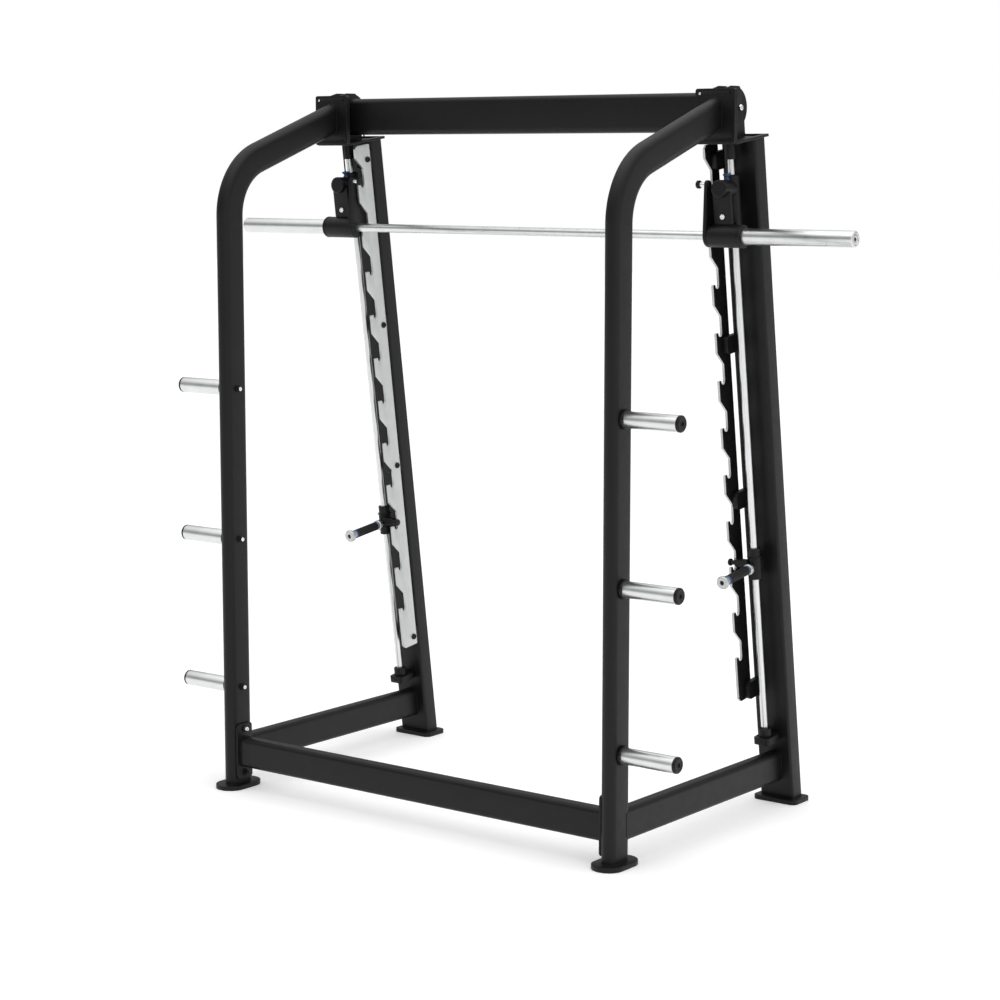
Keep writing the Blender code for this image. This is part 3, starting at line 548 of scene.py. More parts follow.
def hex_head(name, point, axis, flat, height, finish, body):
    """A hexagon head: straight flats, an eased round top edge and a slightly hollow top."""
    turn = np.linspace(0, 2 * math.pi, 48, endpoint=False)
    hexagon = flat / np.cos((turn % (math.pi / 3)) - math.pi / 6)
    hollow = height * 0.94
    rows = [(0, 0), (hexagon, 0), (hexagon, height * 0.75)]
    rows += [(flat * 0.95, height), (flat * 0.5, hollow), (0, hollow)]
    rings = [
        np.stack([radius * np.cos(turn), radius * np.sin(turn), np.full_like(turn, up)], axis=-1)
        for radius, up in rows
    ]
    return finish_piece(skin(name, np.array(rings), axis_place(point, axis)), finish, body, sharp=25)


# Frame


def upright_rings(x):
    """Oval sections up the tube, round its bend and on to the flange, the last one slid onto the flange."""
    section = oval(TUBE_WIDE, TUBE_DEEP)
    angles = np.concatenate([[0.0], np.linspace(0, BEND_TURN, 33), [BEND_TURN]])
    heights = np.full_like(angles, BEND_START)
    heights[0] = FOOT_TOP
    y = UPRIGHT_Y + BEND_RADIUS * (1 - np.cos(angles))
    z = heights + BEND_RADIUS * np.sin(angles)
    across_bend = np.stack([np.zeros_like(angles), np.cos(angles), -np.sin(angles)], axis=1)
    rings = (
        np.stack([np.full_like(y, x), y, z], axis=1)[:, None, :]
        + section[:, 0][None, :, None] * np.array([1.0, 0, 0])
        + section[:, 1][None, :, None] * across_bend[:, None, :]
    )
    run = (0, math.sin(BEND_TURN), math.cos(BEND_TURN))
    rings[-1] = slide_to(rings[-1], run, (0, FLANGE_Y, 0), (0, 1, 0))
    return rings


def make_uprights(hand):
    x = UPRIGHT_X[hand]
    node = f"{hand}_front_upright"
    rings = upright_rings(x)
    tube = skin(f"{hand}_upright_tube", rings)
    finish_piece(tube, "frame_paint", "frame", node)
    weld_bead(f"{hand}_upright_top_weld", rings[-1])
    weld_bead(f"{hand}_upright_foot_weld", rings[0])


def flange_shape():
    tall = FLANGE_TOP - FLANGE_BOTTOM
    holes = [circle((sx * BOLT_ACROSS, sy * BOLT_RISE), 0.005, 24) for sx in (-1, 1) for sy in (-1, 1)]
    return [rounded_box(FLANGE_WIDE, tall, 0.008), *holes]


def make_top_joint(hand):
    """The flange, the pulley bracket's plates, and the bolts that join them."""
    side = SIDES[hand]
    x = UPRIGHT_X[hand]
    middle_z = (FLANGE_TOP + FLANGE_BOTTOM) / 2
    node = f"{hand}_top_bracket"
    low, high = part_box(node)
    face_y = low.y + PLATE / 2
    upright_flange = frame_matrix((x, FLANGE_Y + PLATE / 2, middle_z), (1, 0, 0), (0, 0, 1))
    plate(f"{hand}_flange_plate", flange_shape(), PLATE, upright_flange, "frame_paint", "frame")
    bracket_face = frame_matrix((x, face_y, middle_z), (1, 0, 0), (0, 0, 1))
    plate(f"{hand}_bracket_face", flange_shape(), PLATE, bracket_face, "frame_paint", "frame", node)

    middle = (DECK_FRONT + DECK_REAR) / 2
    deck_shape = [
        rounded_box(0.142, DECK_FRONT - DECK_REAR, 0.004, (0, -middle), steps=6),
        rounded_box(0.104, 0.050, 0.006, (0, -DECK_REAR - 0.033)),
        circle((0, -CABLE_FRONT), 0.007, 24),
    ]
    deck_place = COLUMNS[hand] @ Matrix.Translation((0, 0, DECK_UP + PLATE / 2))
    plate(f"{hand}_bracket_deck", deck_shape, PLATE, deck_place, "frame_paint", "frame")

    axle = Vector(joints[f"{hand}_pulley_spin"]["pos_m"])
    rear = UPRIGHT_Y + 0.632
    cheek = np.concatenate([
        [(face_y, deck_height(face_y)), (rear, deck_height(rear)), (UPRIGHT_Y + 0.616, 2.228)],
        arc((UPRIGHT_Y + 0.594, high.z - 0.010), 0.010, 10, 90, 8),
        [(UPRIGHT_Y + 0.555, high.z), (face_y, FLANGE_TOP - 0.002)],
    ])
    cheek_middle = CHEEK_IN + CHEEK_THICK / 2
    for label, inward in (("inner", cheek_middle), ("outer", -cheek_middle)):
        place = frame_matrix((x - side * inward, 0, 0), (0, 1, 0), (0, 0, 1))
        shape = [cheek, circle((axle.y, axle.z), 0.0083, 32)]
        plate(f"{hand}_{label}_cheek", shape, CHEEK_THICK, place, "frame_paint", "frame")
    for number, (sx, sy) in enumerate(((-1, 1), (1, 1), (1, -1), (-1, -1)), start=1):
        point = (x + sx * BOLT_ACROSS, FLANGE_Y + 0.0035, middle_z + sy * BOLT_RISE)
        # Only the first bolt, top on the -X side, is bright steel. The other three are the same bolts, given the
        # black fitting paint as painted shade where they sit shaded.
        finish = "bright_bolt" if number == 1 else "fitting_paint"
        round_bolt(f"{hand}_flange_bolt_{number}", point, (0, -1, 0), 0.0047, 0.003, finish, "frame")
        back = (point[0], face_y + PLATE / 2, point[2])
        hex_head(f"{hand}_flange_nut_{number}", back, (0, 1, 0), 0.0075, 0.006, "fitting_paint", "frame")


def make_feet(hand):
    for end, corner, steps in (("front", 0.051, 24), ("rear", 0.020, 12)):
        node = f"{hand}_{end}_foot"
        low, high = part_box(node)
        centre = (low + high) / 2
        outline = rounded_box(high.x - low.x, high.y - low.y, corner, steps=steps)
        place = Matrix.Translation(centre)
        plate(f"{node}_plate", [outline], high.z - low.z, place, "frame_paint", "frame", node, edge=0.0018)


def level_rings(ends, y, z):
    """A section given by its y and z, at both ends of a tube along X."""
    return np.array([np.stack([np.full_like(y, x), y, z], axis=-1) for x in ends])


def make_beams():
    """The lower and upper cross beams, with the lower one's end flanges and bolts."""
    low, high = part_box("top_cross_beam")
    middle = (low + high) / 2
    section = rounded_box(high.y - low.y, high.z - low.z, TOP_BEAM_CORNER)
    rings = level_rings((low.x, high.x), middle.y + section[:, 0], middle.z + section[:, 1])
    finish_piece(skin("top_beam_tube", rings), "frame_paint", "frame", "top_cross_beam")
    for hand, ring in zip(SIDES, rings):
        weld_bead(f"{hand}_top_beam_weld", ring)

    low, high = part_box("front_cross_beam")
    section = rounded_box(TUBE_WIDE, BEAM_TALL, BEAM_CORNER)
    ends = (low.x + PLATE, high.x - PLATE)
    rings = level_rings(ends, UPRIGHT_Y + section[:, 0], BEAM_MIDDLE + section[:, 1])
    finish_piece(skin("front_beam_tube", rings), "frame_paint", "frame", "front_cross_beam")
    for (hand, side), ring, end in zip(SIDES.items(), rings, (low.x, high.x)):
        weld_bead(f"{hand}_front_beam_weld", ring)
        middle_z = (low.z + high.z) / 2
        inner_face = end - side * PLATE
        place = frame_matrix((end - side * PLATE / 2, UPRIGHT_Y, middle_z), (0, 1, 0), (0, 0, 1))
        outline = rounded_box(high.y - low.y, high.z - low.z, 0.012)
        plate(f"{hand}_beam_flange", [outline], PLATE, place, "frame_paint", "frame")
        inward = (-side, 0, 0)
        washer_thick = 0.004
        washer = disc_profile(0.0125, 0, washer_thick)
        for label, height, finish in (("upper", 0.199, "bright_bolt"), ("lower", 0.051, "fitting_paint")):
            name = f"{hand}_{label}_flange"
            washer_at = (inner_face, UPRIGHT_Y, height)
            turned(f"{name}_washer", washer, washer_at, inward, "fitting_paint", "frame")
            bolt_at = (inner_face - side * washer_thick, UPRIGHT_Y, height)
            round_bolt(f"{name}_end", bolt_at, inward, 0.0078, 0.010, finish, "frame", socket=0.3)


def make_side_beam(hand):
    """The lower side beam: its front end follows the upright's round back, its rear end the leaning post."""
    x = UPRIGHT_X[hand]
    section = rounded_box(TUBE_WIDE, BEAM_TALL, BEAM_CORNER)
    z = BEAM_MIDDLE + section[:, 1]
    round_back = np.sqrt(np.maximum((TUBE_WIDE / 2) ** 2 - section[:, 0] ** 2, 0))
    front = UPRIGHT_Y + TUBE_DEEP / 2 - TUBE_WIDE / 2 + round_back + GAP
    rear = POST_FACE_Y - z * math.tan(LEAN) - GAP
    rings = np.stack([
        np.stack([x + section[:, 0], front, z], axis=1),
        np.stack([x + section[:, 0], rear, z], axis=1),
    ])
    tube = skin(f"{hand}_side_beam_tube", rings)
    finish_piece(tube, "frame_paint", "frame", f"{hand}_side_beam")
    for label, ring in (("front", rings[0]), ("rear", rings[1])):
        weld_bead(f"{hand}_side_beam_{label}_weld", ring)


def post_ring(hand, wide, deep, corner, up):
    """A rectangular section of the leaning post: square across it at up, or level on the foot plate."""
    section = rounded_box(wide, deep, corner, (0, POST_DEEP / 2))
    points = np.array([COLUMNS[hand] @ Vector((x, y, up)) for x, y in section])
    return points if up else slide_to(points, UP_AXIS, (0, 0, FOOT_TOP), (0, 0, 1))


def make_post(hand):
    inner = (POST_WIDE - 2 * POST_WALL, POST_DEEP - 2 * POST_WALL, POST_CORNER - POST_WALL)
    outer = (POST_WIDE, POST_DEEP, POST_CORNER)
    top = DECK_UP - GAP
    rings = np.array([
        post_ring(hand, *outer, 0),
        post_ring(hand, *outer, top),
        post_ring(hand, *inner, top),
        post_ring(hand, *inner, 0),
    ])
    post = skin(f"{hand}_post_tube", rings, closed=True)
    finish_piece(post, "frame_paint", "frame", f"{hand}_rear_post")
    weld_bead(f"{hand}_post_foot_weld", rings[0])
    weld_bead(f"{hand}_post_top_weld", rings[1])


def make_pegs(hand):
    """Plate pegs: a chrome tube in a black root collar, with a black cap and a bolt through to the inside."""
    side = SIDES[hand]
    for level in ("upper", "middle", "lower"):
        node = f"{hand}_{level}_storage_peg"
        low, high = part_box(node)
        root_x, tip_x = (low.x, high.x) if side > 0 else (high.x, low.x)
        point = (root_x, UPRIGHT_Y, (low.z + high.z) / 2)
        length = abs(tip_x - root_x)
        name = f"{hand}_{level}_peg"
        out = (side, 0, 0)
        cap_start = length - PEG_CAP
        tube = [(0, 0.006), (PEG_RADIUS, 0.006), (PEG_RADIUS, cap_start), (0, cap_start)]
        turned(f"{name}_tube", tube, point, out, "peg_chrome", "frame", node, edge=0.0012)
        collar = ring_profile(0.0295, PEG_RADIUS - 0.001, 0, 0.010)
        turned(f"{name}_collar", collar, point, out, "black_plastic", "frame", edge=0.0016)
        cap = [(0, cap_start), (PEG_RADIUS, cap_start), (PEG_RADIUS, length - 0.0038), (0.0212, length)]
        groove, hole = length - 0.0012, length - 0.0050
        cap += [(0.0140, length), (0.0132, groove), (0.0108, groove), (0.0100, length)]
        cap += [(0.0068, length), (0.0058, hole), (0, hole)]
        turned(f"{name}_cap", cap, point, out, "black_plastic", "frame", edge=0.0008)
        inside = (UPRIGHT_X[hand] - side * TUBE_WIDE / 2, UPRIGHT_Y, point[2])
        nut = [(0, 0), (0.0115, 0), (0.0115, 0.0035), (0.0088, 0.0040), (0.0085, 0.0120), (0, 0.0120)]
        turned(f"{name}_nut", nut, inside, (-side, 0, 0), "fitting_paint", "frame", edge=0.0005)
        bolt_at = (inside[0] - side * 0.0118, UPRIGHT_Y, point[2])
        round_bolt(f"{name}_bolt", bolt_at, (-side, 0, 0), 0.0068, 0.0020, "bright_bolt", "frame", socket=0.3)


# Guide columns


def column_point(hand, inward, ahead, up):
    return COLUMNS[hand] @ Vector((-SIDES[hand] * inward, -ahead, up))


def column_plate(hand, inward, ahead=0.0, up=0.0):
    """Where a plate lies whose outline is given as ahead and up, its middle this far inward."""
    origin = (-SIDES[hand] * inward, -ahead, up)
    return COLUMNS[hand] @ frame_matrix(origin, (0, -1, 0), (0, 0, 1))


def hook_outline(tip_up):
    """One hook as (ahead, up): the valley's face, the round notch, and the lip's rounded tip."""
    groove = arc((NOTCH_AHEAD, tip_up - NOTCH_DEEP + NOTCH_RADIUS), NOTCH_RADIUS, 180, 360, 20)
    lip = arc((RACK_TIP - 0.0025, tip_up - 0.0025), 0.0025, 90, 0, 6)
    return np.concatenate([
        [(RACK_TIP, tip_up + 0.088), (RACK_VALLEY, tip_up + 0.048), (RACK_VALLEY, tip_up - 0.003)],
        groove,
        [(NOTCH_AHEAD + NOTCH_RADIUS + 0.0012, tip_up)],
        lip,
    ])


def make_rack(hand):
    """The hook rack: bright steel on its edges and inner face, black on the face towards its post."""
    side = SIDES[hand]
    top_back = arc((RACK_BACK + 0.006, RACK_TOP - 0.006), 0.006, 180, 90, 6)
    outline = np.concatenate([
        [(RACK_BACK, RACK_BOTTOM)],
        top_back,
        [(RACK_TIP - 0.012, RACK_TOP), (RACK_TIP, RACK_TOP - 0.010)],
        *[hook_outline(HOOK_TOP - i * HOOK_PITCH) for i in range(HOOKS)],
        [(RACK_TIP, RACK_BOTTOM + 0.012), (RACK_TIP - 0.012, RACK_BOTTOM)],
    ])
    place = column_plate(hand, RACK_INWARD)
    node = f"{hand}_hook_rack"
    rack = plate(f"{hand}_rack_plate", [outline], RACK_THICK, place, "rack_steel", "frame", node, edge=0.0006)
    rack.data.materials.append(FINISH["rack_paint"])
    normals = np.zeros(len(rack.data.polygons) * 3)
    rack.data.polygons.foreach_get("normal", normals)
    painted = (normals.reshape(-1, 3)[:, 0] * side > 0.9).astype(np.int32)
    rack.data.polygons.foreach_set("material_index", painted)
    for number, up in enumerate(LUG_UPS, start=1):
        at = column_point(hand, RACK_INWARD + RACK_THICK / 2, RACK_BOLT_AHEAD, up)
        round_bolt(f"{hand}_rack_bolt_{number}", at, (-side, 0, 0), 0.0105, 0.006, "fitting_paint", "frame")


def make_lugs(hand):
    wide, reach, tall = LUG_SIZE
    nose = 0.016
    shape = np.concatenate([
        [(GAP, -tall / 2), (GAP, tall / 2)],
        arc((reach - nose, tall / 2 - nose), nose, 90, 0, 14),
        arc((reach - nose, -tall / 2 + nose), nose, 0, -90, 14),
    ])
    for number, up in enumerate(LUG_UPS, start=1):
        place = column_plate(hand, RACK_INWARD - RACK_THICK / 2 - GAP - wide / 2, 0, up)
        node = f"{hand}_rack_lug_{number}"
        plate(f"{hand}_lug_block_{number}", [shape], wide, place, "fitting_paint", "frame", node, edge=0.0012)


def make_rod(hand):
    foot = column_point(hand, 0, ROD_AHEAD, 0)
    rod = disc_profile(ROD_RADIUS, *ROD_ENDS)
    node = f"{hand}_guide_rod"
    turned(f"{hand}_rod", rod, foot, UP_AXIS, "rod_chrome", "frame", node, edge=0.0015)
    reach = 0.076
    block_shape = rounded_box(0.058, reach, 0.010, (0, -reach / 2 - GAP))
    place = COLUMNS[hand] @ Matrix.Translation((0, 0, CLAMP_UP))
    node = f"{hand}_rod_lower_clamp"
    plate(f"{hand}_clamp_block", [block_shape], 0.024, place, "fitting_paint", "frame", node, edge=0.0015)
    collar = ring_profile(0.021, 0.0112, CLAMP_UP + 0.011, CLAMP_UP + 0.039)
    turned(f"{hand}_clamp_collar", collar, foot, UP_AXIS, "fitting_paint", "frame", edge=0.0012)
    screw = column_point(hand, 0, reach - GAP, CLAMP_UP)
    round_bolt(f"{hand}_clamp_screw", screw, AHEAD_AXIS, 0.0045, 0.002, "fitting_paint", "frame")
    socket = ring_profile(0.017, 0.0112, 2.101, DECK_UP - GAP)
    turned(f"{hand}_socket", socket, foot, UP_AXIS, "fitting_paint", "frame", f"{hand}_rod_upper_socket")


# Pulley, cable and counterweight


def make_pulley(hand):
    side = SIDES[hand]
    point = Vector(joints[f"{hand}_pulley_spin"]["pos_m"])
    half = 0.015
    turn = np.linspace(0.6 * math.pi, 1.4 * math.pi, 9)
    groove_radius, groove_half = CABLE_RADIUS * np.cos(turn), 1.15 * CABLE_RADIUS * np.sin(turn)
    groove = np.stack([CABLE_PITCH + groove_radius, -groove_half], axis=1)
    web = half - 0.006
    rim, rim_outer, rim_inner = 0.063, half - 0.003, half - 0.007
    profile = [
        *[(0.0083, half), (0.0083, -half), (0.018, -half), (0.018, -web), (0.048, -web)],
        *[(rim, -rim_outer), (rim, -rim_inner), *groove, (rim, rim_inner), (rim, rim_outer)],
        *[(0.048, web), (0.018, web), (0.018, half), (0.0083, half)],
    ]
    node = f"{hand}_pulley"
    turned(f"{hand}_pulley_wheel", profile, point, (1, 0, 0), "black_plastic", node, node, sides=96)
    ring = ring_profile(0.0075, 0.0050, -0.0002, 0.0012)
    outward = (side, 0, 0)
    for number in range(5):
        turn = 2 * math.pi * number / 5
        spot = point + Vector((side * web, 0.034 * math.cos(turn), 0.034 * math.sin(turn)))
        name = f"{hand}_pulley_rib_{number + 1}"
        turned(name, ring, spot, outward, "black_plastic", node, edge=0.0004, sides=32)
    reach = CHEEK_IN + CHEEK_THICK + GAP
    shank = disc_profile(0.008, -reach - 0.007, reach + 0.001)
    turned(f"{hand}_axle_shank", shank, point, outward, "bright_bolt", "frame", f"{hand}_pulley_axle")
    offset = Vector((side * reach, 0, 0))
    head = point + offset
    round_bolt(f"{hand}_axle_head", head, outward, 0.010, 0.0088, "bright_bolt", "frame", socket=0.42)
    hex_head(f"{hand}_axle_nut", point - offset, (-side, 0, 0), 0.0090, 0.008, "bright_bolt", "frame")


def strand(hand, name, ahead, low, high):
    """A straight run of cable, with rings along its length."""
    across, ups = np.meshgrid(CABLE_RADIUS * np.cos(CABLE_SIDES), np.linspace(low, high, 60))
    y = np.broadcast_to(-ahead + CABLE_RADIUS * np.sin(CABLE_SIDES), across.shape)
    piece = skin(name, np.stack([across, y, ups], axis=-1), COLUMNS[hand])
    piece.data.materials.append(FINISH["cable_coat"])
    piece.data.shade_smooth()
    return piece


def make_cable(hand):
    """The cable in three stretches: carriage to pulley, over the pulley, and pulley to counterweight."""
    start_up = up_at_height(CABLE_FRONT, DRUM_Z + DRUM_RADIUS) + 0.020
    weight_up = up_at_height(CABLE_REAR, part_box(f"{hand}_counterweight")[1].z) - 0.004
    stretches = (
        ("front", CABLE_FRONT, start_up, "carriages"),
        ("rear", CABLE_REAR, weight_up, f"{hand}_counterweight"),
    )
    for label, ahead, low, body in stretches:
        piece = strand(hand, f"{hand}_{label}_strand", ahead, low, PULLEY_UP)
        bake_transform(piece)

    swing = np.linspace(0, math.pi, 49)[:, None]
    reach = CABLE_PITCH + CABLE_RADIUS * np.cos(CABLE_SIDES)[None, :]
    y = -(PULLEY_AHEAD + reach * np.cos(swing))
    across = np.broadcast_to(CABLE_RADIUS * np.sin(CABLE_SIDES), y.shape)
    rings = np.stack([across, y, PULLEY_UP + reach * np.sin(swing)], axis=-1)
    bend = skin(f"{hand}_cable_bend", rings, COLUMNS[hand])
    finish_piece(bend, "cable_coat", "frame", f"{hand}_cable")


def make_counterweight(hand):
    """The weight inside the post: its CAD block in a rough cast finish, with an eye for the cable."""
    node = f"{hand}_counterweight"
    block = frame["nodes"][node]
    block.data.materials.clear()
    block.data.materials.append(FINISH["cast_weight"])
    base = column_point(hand, 0, CABLE_REAR, up_at_height(CABLE_REAR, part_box(node)[1].z) - 0.008)
    eye = [(0, 0), (0.011, 0), (0.011, 0.010), (0.006, 0.016), (0.0026, 0.024), (0, 0.024)]
    turned(f"{hand}_weight_ferrule", eye, base, UP_AXIS, "bright_bolt", node)


# Carriages, bar and latches


def make_carriage(hand):
    side = SIDES[hand]
    body = "carriages"
    node = f"{hand}_carriage"
    rod = column_point(hand, 0, ROD_AHEAD, 0)
    housing = ring_profile(0.0235, ROD_BORE, *HOUSING)
    turned(f"{hand}_bearing_housing", housing, rod, UP_AXIS, "fitting_paint", body, node, edge=0.0012)
    for label, low, high in (("lower", 1.8385, 1.8425), ("upper", 2.0500, 2.0545)):
        ring = ring_profile(0.0175, ROD_BORE, low, high)
        turned(f"{hand}_{label}_rod_wiper", ring, rod, UP_AXIS, "black_plastic", body, edge=0.0008)
    bar_centre = column_point(hand, 0, BAR_AHEAD, BAR_UP)
    shoulder = HUB_RADIUS - 0.0015
    hub = [(BAR_BORE, -0.0618), (shoulder, -0.0630), (HUB_RADIUS, -0.0615), (HUB_RADIUS, 0.0445)]
    hub += [(shoulder, 0.0458), (BAR_BORE, 0.0458), (BAR_BORE, -0.0618)]
    turned(f"{hand}_bar_hub", hub, bar_centre, (-side, 0, 0), "fitting_paint", body, edge=0.0010, sides=80)

    rim = ring_profile(HUB_RADIUS + 0.0005, BAR_BORE, 0.8283, SLEEVE_START - GAP)
    bar_line = (0, bar_centre[1], bar_centre[2])
    turned(f"{hand}_hub_rim", rim, bar_line, (side, 0, 0), "fitting_paint", body, edge=0.0022, sides=80)

    web_centre = ((BAR_AHEAD + ROD_AHEAD) / 2, BAR_UP + 0.001)
    web_shape = rounded_box(BAR_AHEAD - ROD_AHEAD, 0.058, 0.004, web_centre)
    place = column_plate(hand, 0)
    plate(f"{hand}_hub_web", [web_shape], 0.040, place, "fitting_paint", body, edge=0.0015)

    node = f"{hand}_cable_anchor"
    drum_low, drum_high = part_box(node)
    drum_back = drum_high.y - 0.002
    line = (UPRIGHT_X[hand], 0, DRUM_Z)
    boss = disc_profile(0.019, drum_back, 0.150)
    turned(f"{hand}_housing_boss", boss, line, (0, 1, 0), "fitting_paint", body, edge=0.0015)
    drum = [(0, drum_low.y + 0.0012), (DRUM_RADIUS - 0.004, drum_low.y), (DRUM_RADIUS, drum_low.y + 0.003)]
    drum += [(DRUM_RADIUS, drum_back - 0.0015), (DRUM_RADIUS - 0.0012, drum_back), (0, drum_back)]
    turned(f"{hand}_anchor_drum", drum, line, (0, 1, 0), "black_plastic", body, node, edge=0.001, sides=72)

    tie_face = 0.112
    tie_low = BAR_UP + HUB_RADIUS + 0.0006
    tie_high = BAR_UP + 0.135
    tie = rounded_box(0.063, tie_high - tie_low, 0.003, (0, (tie_high + tie_low) / 2))
    tie_place = COLUMNS[hand] @ frame_matrix((0, -tie_face + 0.0055, 0), (1, 0, 0), (0, 0, 1))
    plate(f"{hand}_tie_plate", [tie], 0.011, tie_place, "fitting_paint", body, edge=0.0012)
    stud_base = column_point(hand, 0, 0.066, BAR_UP + 0.062)
    turned(f"{hand}_tie_stud", disc_profile(0.012, 0, 0.037), stud_base, AHEAD_AXIS, "fitting_paint", body)
    bolt_at = column_point(hand, 0, tie_face, BAR_UP + 0.0595)
    washer = ring_profile(0.0118, 0.004, -0.0004, 0.0008)
    turned(f"{hand}_tie_washer", washer, bolt_at, AHEAD_AXIS, "black_plastic", body, edge=0.0003)
    round_bolt(f"{hand}_tie_bolt", bolt_at, AHEAD_AXIS, 0.0090, 0.0048, "bright_bolt", body, socket=0.42)

    seat_up = up_at_height(CABLE_FRONT, DRUM_Z + DRUM_RADIUS) - 0.0015
    seat = column_point(hand, 0, CABLE_FRONT, seat_up)
    fitting = [(0, 0), (0.0085, 0), (0.0082, 0.0035), (0.0056, 0.0080), (0.0056, 0.0100), (0.0108, 0.0150)]
    fitting += [(0.0118, 0.0175), (0.0108, 0.0195), (0.0036, 0.0200), (0.0034, 0.0225), (0, 0.0225)]
    turned(f"{hand}_cable_end", fitting, seat, UP_AXIS, "blue_fitting", body, edge=0.0008, sides=40)


def make_latch(hand):
    """The arm on the bar, with its chrome pin and its black cap."""
    side = SIDES[hand]
    body = "bar"
    centre = column_plate(hand, ARM_INWARD, BAR_AHEAD, BAR_UP)
    shape = [wedge(HUB_RADIUS, 0.0135, ARM_REACH, ARM_ANGLE), circle((0, 0), BAR_BORE, 48)]
    node = f"{hand}_latch_arm"
    plate(f"{hand}_latch_plate", shape, ARM_THICK, centre, "fitting_paint", body, node, edge=0.0018)
    pin_ahead = BAR_AHEAD + ARM_REACH * math.sin(ARM_ANGLE)
    pin_up = BAR_UP + ARM_REACH * math.cos(ARM_ANGLE)
    line = column_point(hand, 0, pin_ahead, pin_up)
    pin = disc_profile(PIN_RADIUS, 0.050, 0.081)
    turned(f"{hand}_latch_pin", pin, line, (-side, 0, 0), "bright_bolt", body)
    cap = [(0, 0.0795), (0.0125, 0.0795), (0.0125, 0.0880), (0.0105, 0.0900), (0, 0.0900)]
    turned(f"{hand}_latch_cap", cap, line, (-side, 0, 0), "fitting_paint", body)
    back = disc_profile(0.0085, 0.0428, 0.0465)
    turned(f"{hand}_latch_pin_back", back, line, (-side, 0, 0), "fitting_paint", body)


def make_bar():
    centre = joints["bar_twist"]["pos_m"]
    low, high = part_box("bar_shaft")
    shaft = disc_profile(BAR_RADIUS, low.x, high.x)
    turned("bar_rod", shaft, (0, centre[1], centre[2]), (1, 0, 0), "chrome", "bar", "bar_shaft", edge=0.0015)


def make_sleeve(hand):
    """The spinning plate sleeve, with a recessed end disc and a black disc in its middle as painted shade for its
    hole.
    """
    side = SIDES[hand]
    body = f"{hand}_sleeve"
    centre = joints["bar_twist"]["pos_m"]
    point = (0, centre[1], centre[2])
    end = abs(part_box(f"{hand}_bar_sleeve")[1 if side > 0 else 0].x)
    start, outward = (BAR_BORE, SLEEVE_START), (side, 0, 0)
    sleeve = [start, (SLEEVE_RADIUS, SLEEVE_START), (SLEEVE_RADIUS, end - 0.0035), (0.0215, end)]
    sleeve += [(0.0175, end), (0.0165, end - 0.002), (BAR_BORE, end - 0.002), start]
    node = f"{hand}_bar_sleeve"
    turned(f"{hand}_sleeve_tube", sleeve, point, outward, "chrome", body, node, edge=0.0012, sides=96)
    disc = [(0, end - 0.004), (0.0162, end - 0.004), (0.0162, end - 0.0010)]
    disc += [(0.0085, end - 0.0006), (0.0080, end - 0.0022), (0, end - 0.0022)]
    turned(f"{hand}_sleeve_disc", disc, point, outward, "chrome", body, edge=0.0005)
    # A thin black disc in the end disc's hollow: painted shade for the hole in the sleeve's end.
    head = (side * (end - 0.0024), centre[1], centre[2])
    screw = disc_profile(0.0052, 0, 0.0010)
    turned(f"{hand}_sleeve_hole_shade", screw, head, outward, "fitting_paint", body, edge=0.0003, sides=32)


# Safety stops


